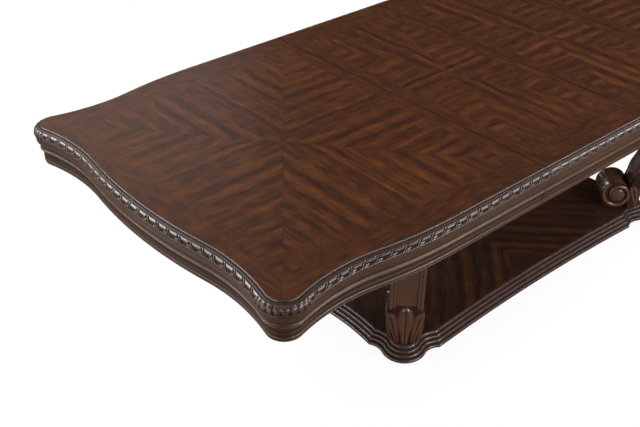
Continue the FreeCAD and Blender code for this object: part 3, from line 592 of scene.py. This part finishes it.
def top_runs():
    """Bead line of the quarter with positive X and Y: the long side from the seam, and half of the end."""
    side_dip = np.array([END_X - SIDE_DIP_FROM_END, SIDE_HALF_WIDTH - SIDE_DIP_DEPTH])
    shoulder = np.array([END_X - SHOULDER_FROM_END, SIDE_HALF_WIDTH])
    seam = np.array([LEAF_WIDTH, SIDE_HALF_WIDTH])
    radii = ((side_dip[0] - shoulder[0]) ** 2 + SIDE_DIP_DEPTH ** 2) / (2 * SIDE_DIP_DEPTH)
    shoulder_centre = shoulder - np.array([0, radii - SIDE_DIP_RADIUS])
    dip_centre = side_dip + np.array([0, SIDE_DIP_RADIUS])
    side_turn = shoulder_centre + (dip_centre - shoulder_centre) * (radii - SIDE_DIP_RADIUS) / radii
    end_radii = (END_DIP_Y ** 2 + END_DIP_DEPTH ** 2) / (2 * END_DIP_DEPTH)
    bow_radius = end_radii - END_DIP_RADIUS
    end_dip_centre = np.array([END_X - END_DIP_DEPTH + END_DIP_RADIUS, END_DIP_Y])
    bow_centre = np.array([END_X - bow_radius, 0])
    end_turn = bow_centre + (end_dip_centre - bow_centre) * bow_radius / end_radii
    ears = meeting_points(dip_centre, SIDE_DIP_RADIUS + EAR_RADIUS,
                          end_dip_centre, END_DIP_RADIUS + EAR_RADIUS)
    ear = min(ears, key=np.linalg.norm)
    from_side = ear + (dip_centre - ear) * EAR_RADIUS / (EAR_RADIUS + SIDE_DIP_RADIUS)
    from_end = ear + (end_dip_centre - ear) * EAR_RADIUS / (EAR_RADIUS + END_DIP_RADIUS)
    bisector = from_side + from_end - 2 * ear
    tip = ear + bisector / np.linalg.norm(bisector) * EAR_RADIUS
    count = max(2, round((shoulder[0] - seam[0]) / EDGE_STEP))
    straight = seam + (shoulder - seam) * np.arange(count + 1)[:, None] / count
    side = joined([
        (straight, np.tile([0.0, 1.0], (count + 1, 1))),
        arc_run(shoulder_centre, shoulder, side_turn),
        inward(arc_run(dip_centre, side_turn, from_side)),
        arc_run(ear, from_side, tip),
    ])
    end = joined([
        arc_run(ear, tip, from_end),
        inward(arc_run(end_dip_centre, from_end, end_turn)),
        arc_run(bow_centre, end_turn, np.array([END_X, 0.0])),
    ])
    return side, end


def lengths_along(points):
    steps = np.linalg.norm(np.diff(points, axis=0), axis=1)
    return np.concatenate([[0.0], np.cumsum(steps)])


# Edge mouldings

# Each step of a section ends with its relief: 1 where the colour is painted pale as rubbed wear and
# highlight, 0 where it is darkened as painted shade.
BEAD_SECTION = [
    (0.0, -EDGE_DEPTH, 0.8),
    ("line", (0.0, -1.0), 0.8),
    ("arc", (1.6, -0.05), (3.2, -1.2), 8, 0.92),
    ("line", (3.9, -4.2), 0.3),
    ("line", (5.0, -4.6), 0.25),
    ("arc", (6.7, -4.2), (8.5, -4.5), 4, 0.42),
]
OVOLO_STEPS = 22

APRON_SECTION = [
    (-APRON_BACK, -EDGE_DEPTH, 0.6),
    ("line", (19.5, -EDGE_DEPTH), 0.6),
    ("arc", (20.4, -32.2), (19.6, -34.4), 5, 0.88),
    ("line", (18.6, -35.2), 0.12),
    ("arc", (19.2, -42.0), (17.0, -49.0), 10, 0.7),
    ("line", (15.8, -49.6), 0.12),
    ("arc", (10.8, -56.5), (8.2, -63.4), 10, 0.6),
    ("arc", (9.2, -66.4), (11.0, -68.2), 6, 0.84),
    ("arc", (12.0, -70.2), (10.6, -72.4), 5, 0.98),
    ("line", (7.0, -73.2), 0.12),
    ("arc", (5.4, -79.0), (3.6, -87.2), 8, 0.5),
    ("line", (3.2, -88.0), 0.1),
    ("arc", (5.3, -94.5), (3.4, -101.0), 10, 0.48),
    ("line", (2.8, -101.8), 0.1),
    ("arc", (5.2, -107.0), (2.8, -112.6), 10, 0.9),
    ("line", (2.2, -113.2), 0.15),
    ("arc", (3.4, -114.6), (1.5, -APRON_DEPTH), 4, 0.7),
    ("line", (-APRON_BACK, -APRON_DEPTH), 0.6),
]


def ovolo_section():
    """Points and outward directions down the carved quarter round."""
    start, end = (8.5, -4.5), (21.0, -EDGE_DEPTH)
    points = [start] + arc_through(start, (19.0, -9.5), (23.5, -19.0), OVOLO_STEPS * 2 // 3)
    points += arc_through((23.5, -19.0), (23.2, -24.5), end, OVOLO_STEPS - OVOLO_STEPS * 2 // 3)
    points = np.array(points)
    tangent = np.gradient(points, axis=0)
    outward = np.stack([-tangent[:, 1], tangent[:, 0]], 1)
    outward *= np.sign(outward[:, :1].sum())
    return points, outward / np.linalg.norm(outward, axis=1, keepdims=True)


def carving_depth(repeats, down):
    """Depth of the leaf-and-dart carving: repeats counts along the edge, down is 0 to 1 over the round.

    A smooth bar runs along the crest, broken by pairs of slanted slits. A line is cut under each bar, with a
    smooth lobe tucked below one half of it and comb cuts below the other. The lower part is plain.
    """
    slanted = repeats - CARVING_SLANT * (down - 0.3)
    x = slanted - np.floor(slanted) - 0.5
    side = np.abs(x)
    carved = 1.0 - smoothstep(down, 0.62, 0.68)
    slit = 3.8 * hump(side, SLIT_PLACE, 0.028) * smoothstep(down, 0.12, 0.26)
    under_bar = 3.0 * hump(down, 0.41, 0.028) * (1.0 - smoothstep(side, 0.33, 0.38))
    comb = sum(3.4 * hump(x, cut, 0.034) for cut in COMB_CUTS) * smoothstep(down, 0.42, 0.46)
    foot_line = 1.6 * hump(down, 0.65, 0.035)
    return np.minimum((slit + under_bar + comb) * carved + foot_line, CARVING_FLOOR)


def ear_depth(from_ear, down):
    """Depth of the fluted fan on an ear, from millimetres away from the ear's tip."""
    flute = np.abs(np.sin(from_ear / EAR_FLUTE * math.pi))
    return 2.4 * (1.0 - flute) ** 1.5 * smoothstep(down, 0.10, 0.30) + 0.8 * hump(down, 0.62, 0.06)


def swept(path, section):
    """Rings of a section (out, depth) carried along a level path; it may differ from ring to ring."""
    points, normals = path
    section = np.asarray(section)
    if section.ndim == 2:
        section = np.broadcast_to(section, (len(points),) + section.shape)
    rings = np.empty(section.shape[:2] + (3,))
    rings[..., :2] = points[:, None, :] + normals[:, None, :] * section[..., :1]
    rings[..., 2] = TABLE_HEIGHT + section[..., 1]
    return rings


def carved_rings(path, ears, seams):
    """Carved edge strip along a path, with its relief.

    ears and seams name the ends that meet one: 0 is the path's start and 1 its end.
    """
    points, _ = path
    along = lengths_along(points)
    repeats = along / along[-1] * max(1, round(along[-1] / CARVING_REPEAT))
    plain, plain_relief = section_points(BEAD_SECTION)
    round_points, outward = ovolo_section()
    down = np.linspace(0.0, 1.0, len(round_points))[None, :]
    depth = carving_depth(repeats[:, None], down)
    for ear in ears:
        from_ear = np.abs(along - ear * along[-1])[:, None]
        in_fan = 1.0 - smoothstep(from_ear, EAR_FAN - EAR_FAN_FADE, EAR_FAN)
        depth += (ear_depth(from_ear, down) - depth) * in_fan
    hollow = 1.6 * (1.0 - smoothstep(down, 0.04, 0.20))
    depth = (depth * smoothstep(down, 0.02, 0.10) + hollow) * (1.0 - smoothstep(down, 0.88, 1.0))
    carved = round_points[None] - outward[None] * depth[..., None]
    section = np.concatenate([np.broadcast_to(plain, (len(points),) + plain.shape), carved[:, 1:]], 1)
    relief = np.empty(section.shape[:2])
    relief[:, :len(plain)] = plain_relief
    # Painted shade: relief is lowered in the hollow at the top of the round, along the cuts by their depth,
    # and over the round's lower, downward-facing part.
    painted_shade_on_plain = 0.3 * (1.0 - smoothstep(down, 0.10, 0.22)) + 0.42 * smoothstep(down, 0.62, 0.72)
    relief[:, len(plain):] = (1.0 - 0.24 * depth - painted_shade_on_plain)[:, 1:]
    for seam in seams:
        # Painted shade line at the seam end.
        relief[-seam] = SEAM_SHADE
    return swept(path, section), relief


def every_third(path):
    """A coarser path for the plain apron, with the last point kept."""
    spots = list(range(0, len(path[0]), 3))
    if spots[-1] != len(path[0]) - 1:
        spots.append(len(path[0]) - 1)
    return path[0][spots], path[1][spots]


def build_edges():
    side, end = top_runs()
    end_path = joined([end, reverse(flipped(end, 1, -1))])
    apron, apron_relief = section_points(APRON_SECTION)
    for half, x_sign in HALVES.items():
        paths = {
            "front": flipped(side, x_sign, -1),
            "end": flipped(end_path, x_sign, 1),
            "back": flipped(side, x_sign, 1),
        }
        for place, path in paths.items():
            strip = Shells()
            ears, seams = ((0, 1), ()) if place == "end" else ((1,), (0,))
            strip.add(*carved_rings(path, ears, seams))
            name = half + "_carved_edge_" + place
            strip.piece(name + "_carving", half + "_top", "moulding", carved_wood, [name], 55.0)
            skirt = Shells()
            coarse = every_third(path)
            skirt_relief = np.tile(apron_relief, (len(coarse[0]), 1))
            if place != "end":
                # Painted shade line at the seam end.
                skirt_relief[0] = SEAM_SHADE
            skirt.add(swept(coarse, apron), skirt_relief)
            name = half + "_apron_" + place
            skirt.piece(name + "_moulding", half + "_top", "moulding", moulding_wood, [name], 50.0)
    for half, x_sign in HALVES.items():
        strip, skirt = Shells(), Shells()
        for y_sign in (-1, 1):
            xs = np.linspace(LEAF_WIDTH - SEAM_GAP, SEAM_GAP / 2, round(LEAF_WIDTH / EDGE_STEP))
            points = np.stack([x_sign * xs, np.full(len(xs), y_sign * SIDE_HALF_WIDTH)], 1)
            path = (points, np.tile([0.0, float(y_sign)], (len(xs), 1)))
            strip.add(*carved_rings(path, (), (0, 1)))
            few = [0, 2, -3, -1]
            skirt_relief = np.tile(apron_relief, (4, 1))
            # Painted shade lines at both seam ends.
            skirt_relief[[0, -1]] = SEAM_SHADE
            skirt.add(swept((path[0][few], path[1][few]), apron), skirt_relief)
        name = "leaf_" + half
        strip.piece(name + "_carving", name, "moulding", carved_wood, [name + "_carved_edges"], 55.0)
        skirt.piece(name + "_moulding", name, "moulding", moulding_wood, [name + "_aprons"], 50.0)


# Plinth edges

def nearest(choices, goal):
    return min(choices, key=lambda point: np.linalg.norm(point - goal))


def merged(runs):
    """One line of points from runs that meet end to end."""
    return np.concatenate([runs[0]] + [run[1:] for run in runs[1:]])


def plinth_quarter(inset):
    """Plinth outline at an inset, for positive X and Y, from the long side's middle to the end's."""
    leg = np.array([LEG_X, LEG_Y])
    side_cusp, end_cusp = np.array(SIDE_CUSP), np.array(END_CUSP)
    side_radius = (side_cusp[0] ** 2 + PLINTH_SIDE_HOLLOW ** 2) / (2 * PLINTH_SIDE_HOLLOW)
    end_radius = (end_cusp[1] ** 2 + PLINTH_END_HOLLOW ** 2) / (2 * PLINTH_END_HOLLOW)
    side_centre = np.array([0, side_cusp[1] - PLINTH_SIDE_HOLLOW + side_radius])
    end_centre = np.array([end_cusp[0] - PLINTH_END_HOLLOW + end_radius, 0])
    reach = LOBE_RADIUS + NECK_RADIUS
    side_neck = max(meeting_points(leg, reach, side_cusp, NECK_RADIUS), key=np.linalg.norm)
    end_neck = max(meeting_points(leg, reach, end_cusp, NECK_RADIUS), key=np.linalg.norm)
    side_corner = nearest(
        meeting_points(side_centre, side_radius + inset, side_neck, NECK_RADIUS + inset), side_cusp)
    end_corner = nearest(
        meeting_points(end_centre, end_radius + inset, end_neck, NECK_RADIUS + inset), end_cusp)
    side_lobe = leg + (side_neck - leg) * (LOBE_RADIUS - inset) / reach
    end_lobe = leg + (end_neck - leg) * (LOBE_RADIUS - inset) / reach
    lobe_tip = leg + np.array([1.0, 1.0]) * math.sqrt(0.5) * (LOBE_RADIUS - inset)
    side = [
        arc_run(side_centre, side_centre - np.array([0, side_radius + inset]), side_corner, count=40)[0],
        arc_run(side_neck, side_corner, side_lobe, count=24)[0],
        arc_run(leg, side_lobe, lobe_tip, count=24)[0],
    ]
    end = [
        arc_run(leg, lobe_tip, end_lobe, count=24)[0],
        arc_run(end_neck, end_lobe, end_corner, count=24)[0],
        arc_run(end_centre, end_corner, end_centre - np.array([end_radius + inset, 0]), count=16)[0],
    ]
    return merged(side), merged(end)


def reed_section():
    """Closed section of the stepped reeds: insets from the widest line and heights."""
    points = [(PLINTH_EDGE_WIDTH, PLINTH_BOTTOM), (0.0, PLINTH_BOTTOM)]
    # Relief of the reeds: a painted highlight on each reed's nose and painted shade towards its edges and in
    # the grooves between reeds.
    relief = [0.5, 0.5]
    for reed in range(REED_COUNT):
        inset = reed * REED_STEP - REED_OVERHANG
        bottom = PLINTH_BOTTOM + reed * REED_RISE
        for share in np.linspace(0.06, 0.94, 9):
            angle = math.pi * (share - 0.5)
            height = bottom + REED_RISE * (0.5 + 0.49 * math.sin(angle))
            points.append((inset + REED_NOSE * (1.0 - math.cos(angle)), height))
            relief.append(0.62 + 0.34 * math.cos(angle))
        if reed < REED_COUNT - 1:
            points.append((inset + 7.4, bottom + REED_RISE * 0.985))
            relief.append(0.4)
    points += [(PLINTH_EDGE_WIDTH - 2.0, PLINTH_HEIGHT), (PLINTH_EDGE_WIDTH, PLINTH_HEIGHT)]
    relief += [0.7, 0.7]
    return points, relief


def build_plinth_edges():
    section, relief = reed_section()
    columns = {"side": [], "end": []}
    for inset, z in section:
        side, end = plinth_quarter(inset)
        side = np.concatenate([side[::-1], (side * [-1, 1])[1:]])
        end = np.concatenate([end, (end * [1, -1])[::-1][1:]])
        for name, run in (("side", side), ("end", end)):
            columns[name].append(np.concatenate([run, np.full((len(run), 1), z)], 1))
    for place, kind, signs in (("front", "side", (1, -1, 1)), ("back", "side", (1, 1, 1)),
                               ("left", "end", (-1, 1, 1)), ("right", "end", (1, 1, 1))):
        rings = np.stack(columns[kind], 1) * np.array(signs)
        shells = Shells()
        shells.add(rings, np.broadcast_to(relief, rings.shape[:2]))
        name = "plinth_edge_" + place
        shells.piece(name + "_reeds", "base", "moulding", plinth_wood, [name], 60.0)


# Scroll legs

def curve_at(points, heights):
    """Smooth curve through (out, up) points, read at given heights."""
    out, up = np.array(points).T
    slopes = np.gradient(out, up)
    spot = np.clip(np.searchsorted(up, heights) - 1, 0, len(up) - 2)
    span = up[spot + 1] - up[spot]
    t = (heights - up[spot]) / span
    h00, h10 = 2 * t ** 3 - 3 * t ** 2 + 1, t ** 3 - 2 * t ** 2 + t
    h01, h11 = -2 * t ** 3 + 3 * t ** 2, t ** 3 - t ** 2
    return (h00 * out[spot] + h10 * span * slopes[spot] + h01 * out[spot + 1] + h11 * span * slopes[spot + 1])


def face_profile(side):
    """How far the stem's broad faces sink at a distance to the side: a flat panel between double beads."""
    away = np.abs(side)
    sink = np.full(away.shape, STEM_PANEL_SINK)
    beads = [np.sqrt(np.clip(1.0 - ((away - middle) / half) ** 2, 0.0, 1.0)) for middle, half in STEM_BEADS]
    return sink - STEM_PANEL_SINK * np.maximum(*beads)


def add_stem(shells):
    """S-curved stem with beads along its front and back faces."""
    heights = np.concatenate([np.linspace(106.0, 626.0, 90), [630.0, 638.0, LEG_TOP]])
    inner, outer = curve_at(STEM_INNER, heights), curve_at(STEM_OUTER, heights)
    sides = np.concatenate([
        [-LEG_HALF_WIDTH], np.linspace(-51.4, -31.0, 26), [-28.0, -14.0, 0.0, 14.0, 28.0],
        np.linspace(31.0, 51.4, 26), [LEG_HALF_WIDTH]])
    sink = face_profile(sides)
    plain_head = smoothstep(heights, 600.0, 626.0)
    sink = sink[None, :] * (1.0 - plain_head[:, None])
    in_foot = 1.0 - smoothstep(heights, 140.0, 200.0)
    sides = sides[None, :] * (1.0 - 0.3 * in_foot)[:, None]
    outer = outer - 14.0 * in_foot
    front = np.stack([outer[:, None] - sink, sides, np.broadcast_to(heights[:, None], sink.shape)], 2)
    back = np.stack([inner[:, None] + sink[:, ::-1], sides[:, ::-1],
                     np.broadcast_to(heights[:, None], sink.shape)], 2)
    rings = np.concatenate([front, back], 1)
    # Painted shade: the colour is darkened in the grooves beside the stem's beads.
    groove_shade = np.where(np.abs(sides) > 30.5, smoothstep(sink, 1.5, 4.0), 0.0)
    relief = 0.84 - 0.35 * groove_shade
    shells.add(rings, np.concatenate([relief, relief[:, ::-1]], 1))


def leaf_relief(angle, up):
    """Height of the acanthus leaf on the foot; up is 0 at the plinth and 1 at the foot's top."""
    ground = 2.2 * (1.0 - smoothstep(up, 0.80, 1.0))
    height = np.broadcast_to(ground, np.broadcast(angle, up).shape)
    for middle, half, top, tall, curled in LEAF_LOBES:
        rise = np.clip(up / top, 0.0, 1.0)
        lean = middle * (0.62 + 0.38 * rise)
        width = half * (0.45 + 0.55 * smoothstep(rise, 0.0, 0.7))
        width = width * np.sqrt(np.clip(1.0 - rise ** 9, 0.0, 1.0))
        across = np.clip((angle - lean) / np.maximum(width, 1e-3), -1.0, 1.0)
        body = np.sqrt(1.0 - across ** 2) * (up < top)
        ribs = -4.4 * (1.0 - np.abs(np.sin(across * math.pi))) ** 2
        curl = curled * hump(up, top - 0.07, 0.05) * (1.0 - across ** 2)
        height = np.maximum(height, body * (tall + ribs + curl))
    return height


def foot_plan(angles, heights, middle):
    """Distance from the foot's middle to its skin: round at the plinth, squarer where the stem comes out."""
    share = (heights - PLINTH_HEIGHT) / (FOOT_TOP - PLINTH_HEIGHT)
    front = 54.0 + 12.0 * smoothstep(share, 0.0, 1.0) + FOOT_MIDDLE - middle
    side = 63.0 - 2.0 * smoothstep(share, 0.7, 1.0)
    power = 2.2 + 0.8 * smoothstep(share, 0.0, 0.45) + 3.0 * smoothstep(share, 0.45, 1.0)
    front, side, power = front[:, None], side[:, None], power[:, None]
    total = (np.abs(np.cos(angles)) / front) ** power + (np.abs(np.sin(angles)) / side) ** power
    return total ** (-1.0 / power)


def add_foot(shells):
    """Foot wrapped in its leaf, round the root of the stem."""
    angles = np.linspace(-math.pi / 2, math.pi / 2, 141)
    heights = np.linspace(PLINTH_HEIGHT, FOOT_TOP, 91)
    up = (heights - PLINTH_HEIGHT) / (FOOT_TOP - PLINTH_HEIGHT)
    lift = leaf_relief(angles[None, :], up[:, None])
    behind = curve_at(STEM_INNER, np.maximum(heights, LOW_VOLUTE[1])) + 4.0
    middle = np.maximum(behind + 3.0, FOOT_MIDDLE)
    radius = foot_plan(angles, heights, middle) - LEAF_DEPTH + lift
    out = middle[:, None] + radius * np.cos(angles)
    side = radius * np.sin(angles)
    front = np.stack([out, side, np.broadcast_to(heights[:, None], out.shape)], 2)
    back_out = np.where(heights < LOW_VOLUTE[1], -30.0, behind)
    back = np.stack([np.repeat(back_out[:, None], 2, 1), np.tile([40.0, -40.0], (len(heights), 1)),
                     np.repeat(heights[:, None], 2, 1)], 2)
    # Relief follows the leaf's height: painted shade in its hollows and a painted highlight on its ridges.
    relief = np.concatenate([1.2 * lift / LEAF_DEPTH - 0.08, np.full((len(heights), 2), 0.5)], 1)
    shells.add(np.concatenate([front, back], 1), np.clip(relief, 0.0, 1.0))


def add_volute(shells, out, z, radius, shift, start):
    """Scroll barrel across the leg.

    out and z place its boss, shift moves its own axis, and start is the angle where its scroll begins.
    """
    angles = np.arange(VOLUTE_SPOTS) / VOLUTE_SPOTS * 2 * math.pi
    rim = shift * np.cos(angles) + np.sqrt(radius ** 2 - (shift * np.sin(angles)) ** 2)
    share = (angles - start) / (2 * math.pi) % 1.0
    spots = np.concatenate([[0.02], np.linspace(0.3, 1.0, 44)])
    face_r = (rim[:, None] - 1.0) * spots[None, :]
    pitch = 0.48 * radius
    scroll = np.zeros(face_r.shape)
    for turn in range(3):
        ridge = (radius + abs(shift) - SCROLL_RIDGE - pitch * (share + turn))[:, None]
        scroll = np.maximum(scroll, np.sqrt(np.clip(1.0 - ((face_r - ridge) / SCROLL_RIDGE) ** 2, 0.0, 1.0)))
    scroll *= smoothstep(face_r, BUTTON_RADIUS - 4.0, BUTTON_RADIUS + 2.0)
    face_side = VOLUTE_HALF_WIDTH - 7.0 + 6.5 * scroll
    barrel_side = np.array([56.0, 53.0, 49.0, 44.0, 38.0, 30.0])
    barrel_r = rim[:, None] - np.array([0.6, 0.0, 0.5, 1.5, 3.0, 4.0])
    half_r = np.concatenate([face_r, barrel_r], 1)
    half_side = np.concatenate([face_side, np.broadcast_to(barrel_side, barrel_r.shape)], 1)
    # Painted shade in the hollows of the scroll's face, paler on its ridge.
    half_relief = np.concatenate([0.10 + 0.88 * scroll, np.full(barrel_r.shape, 0.8)], 1)
    all_r = np.concatenate([half_r, half_r[:, ::-1]], 1)
    all_side = np.concatenate([half_side, -half_side[:, ::-1]], 1)
    turned = angles[:, None]
    points = np.stack([out + all_r * np.cos(turned), all_side, z + all_r * np.sin(turned)], 2)
    relief = np.concatenate([half_relief, half_relief[:, ::-1]], 1)
    shells.add(np.swapaxes(points, 0, 1), np.swapaxes(relief, 0, 1))


def stand(x_sign, y_sign):
    """Moves points from a leg's own plane to its corner."""
    ahead = np.array([x_sign, y_sign]) * math.sqrt(0.5)
    aside = np.array([-ahead[1], ahead[0]])
    place = np.array([x_sign * LEG_X, y_sign * LEG_Y])

    def change(points):
        level = place + points[:, :1] * ahead + points[:, 1:2] * aside
        return np.concatenate([level, points[:, 2:]], 1)
    return change


def button_rings(out, z, side_sign):
    """Turned button: a dome in a ring."""
    # Relief of the profile: painted shade at the button's seat and a painted highlight on its crest.
    profile, relief = section_points([
        (BUTTON_RADIUS, 0.0, 0.35), ("line", (BUTTON_RADIUS, 3.0), 0.6),
        ("arc", (22.4, 6.0), (18.5, 7.4), 8, 0.95), ("arc", (9.6, 8.6), (0.4, 9.0), 12, 0.84)])
    angles = np.arange(BUTTON_SPOTS) / BUTTON_SPOTS * 2 * math.pi
    r, rise = profile[:, :1], profile[:, 1:]
    side = side_sign * (BUTTON_SEAT + np.broadcast_to(rise, (len(profile), BUTTON_SPOTS)))
    rings = np.stack([out + r * np.cos(angles), side, z + r * np.sin(angles)], 2)
    return rings, np.broadcast_to(relief[:, None], side.shape)


def build_legs():
    leg = Shells()
    add_stem(leg)
    add_foot(leg)
    add_volute(leg, *LOW_VOLUTE, LOW_SHIFT, math.radians(125.0))
    add_volute(leg, *HIGH_VOLUTE, HIGH_SHIFT, math.radians(305.0))
    buttons = Shells()
    for out, z, _ in (LOW_VOLUTE, HIGH_VOLUTE):
        for side_sign in (-1, 1):
            buttons.add(*button_rings(out, z, side_sign))
    all_buttons = Shells()
    for corner, (x_sign, y_sign) in CORNERS.items():
        name = "leg_" + corner
        placed_leg = leg.placed(stand(x_sign, y_sign))
        placed_leg.piece(name + "_carving", "base", "leg_wood", leg_wood, [name], 50.0)
        placed = buttons.placed(stand(x_sign, y_sign))
        for points, relief in zip(placed.points, placed.relief):
            all_buttons.add(points.reshape(-1, BUTTON_SPOTS, 3), relief)
    all_buttons.piece("volute_bosses", "base", "leg_wood", leg_wood, ["volute_buttons"], 50.0)


# Finishes of the pieces that keep their own shape

def dress(node, material):
    mesh = frame["nodes"][node].data
    mesh.materials.clear()
    mesh.materials.append(material)


def dress_nodes():
    by_slot = {"inner_wood": inner_wood, "steel": steel, "glide": plastic}
    for entry in frame["record"]["subparts"]:
        if entry["material_slot"] in by_slot:
            dress(entry["node"], by_slot[entry["material_slot"]])
    dress("left_top_panel", top_veneer("left_veneer", -END_FIELD_CENTRE, END_FIELD_HALF, 1.3))
    dress("right_top_panel", top_veneer("right_veneer", END_FIELD_CENTRE, END_FIELD_HALF, 2.6))
    dress("leaf_left_panel", top_veneer("leaf_left_veneer", -LEAF_FIELD_CENTRE, LEAF_FIELD_HALF, 3.9))
    dress("leaf_right_panel", top_veneer("leaf_right_veneer", LEAF_FIELD_CENTRE, LEAF_FIELD_HALF, 4.4))
    dress("plinth_panel", plinth_veneer())


# Stage: floor, light and camera

def build_floor():
    bpy.ops.mesh.primitive_plane_add(size=60.0, location=(0.0, 0.0, -0.0005))
    floor = bpy.context.object
    floor.name = "floor"
    nodes = Nodes("floor_white")
    path = nodes.add("ShaderNodeLightPath").outputs
    mottle = nodes.noise(nodes.place, 3.0)
    pale = nodes.ramp(mottle, [(0.0, (0.79, 0.79, 0.79)), (1.0, (0.83, 0.83, 0.83))])
    matte_colour = nodes.blend(path["Is Camera Ray"], (0.12, 0.117, 0.114), pale)
    matte = nodes.add("ShaderNodeBsdfDiffuse", {"Color": matte_colour}).outputs["BSDF"]
    white = nodes.add("ShaderNodeEmission", {"Color": (1.0, 1.0, 1.0), "Strength": 1.05}).outputs["Emission"]
    seen = nodes.math("MAXIMUM", path["Is Camera Ray"], path["Is Transmission Ray"])
    share = nodes.math("MULTIPLY", seen, FLOOR_WHITE)
    share = nodes.math("MULTIPLY_ADD", path["Is Glossy Ray"], FLOOR_WHITE_IN_GLOSS, share)
    mix = nodes.add("ShaderNodeMixShader", {0: share, 1: matte, 2: white}).outputs[0]
    nodes.add("ShaderNodeOutputMaterial", {"Surface": mix})
    floor.data.materials.append(nodes.material)


def add_softbox(name, place, target, size, power, colour):
    data = bpy.data.lights.new(name, "AREA")
    data.shape = "RECTANGLE"
    data.size, data.size_y = size
    data.energy = power
    data.color = colour
    lamp = bpy.data.objects.new(name, data)
    bpy.context.scene.collection.objects.link(lamp)
    lamp.location = place
    lamp.visible_camera = False
    direction = np.array(target) - np.array(place)
    flat = math.hypot(direction[0], direction[1])
    heading = math.atan2(direction[1], direction[0]) - math.pi / 2
    lamp.rotation_euler = (math.atan2(flat, -direction[2]), 0.0, heading)


def build_light():
    world = bpy.data.worlds.new("studio")
    world.use_nodes = True
    tree = world.node_tree
    path = tree.nodes.new("ShaderNodeLightPath").outputs
    seen = tree.nodes.new("ShaderNodeMath")
    seen.operation = "MAXIMUM"
    tree.links.new(path["Is Camera Ray"], seen.inputs[0])
    tree.links.new(path["Is Transmission Ray"], seen.inputs[1])
    strength = tree.nodes.new("ShaderNodeMapRange")
    strength.inputs["To Min"].default_value = WORLD_LIGHT
    strength.inputs["To Max"].default_value = 1.0
    background = tree.nodes["Background"]
    background.inputs["Color"].default_value = (1.0, 0.99, 0.985, 1.0)
    tree.links.new(seen.outputs[0], strength.inputs["Value"])
    tree.links.new(strength.outputs["Result"], background.inputs["Strength"])
    bpy.context.scene.world = world
    for lamp in LAMPS:
        add_softbox(*lamp)


def build_camera():
    data = bpy.data.cameras.new("camera")
    data.lens = CAMERA_LENS
    data.sensor_fit = "HORIZONTAL"
    data.sensor_width = 36.0
    data.clip_end = 100.0
    camera = bpy.data.objects.new("camera", data)
    bpy.context.scene.collection.objects.link(camera)
    camera.location = CAMERA_PLACE
    camera.rotation_euler = (math.radians(CAMERA_TILT), 0.0, math.radians(CAMERA_HEADING))
    bpy.context.scene.camera = camera


build_edges()
build_plinth_edges()
build_legs()
dress_nodes()
build_floor()
build_light()
build_camera()
bpy.context.scene.view_settings.view_transform = "Standard"
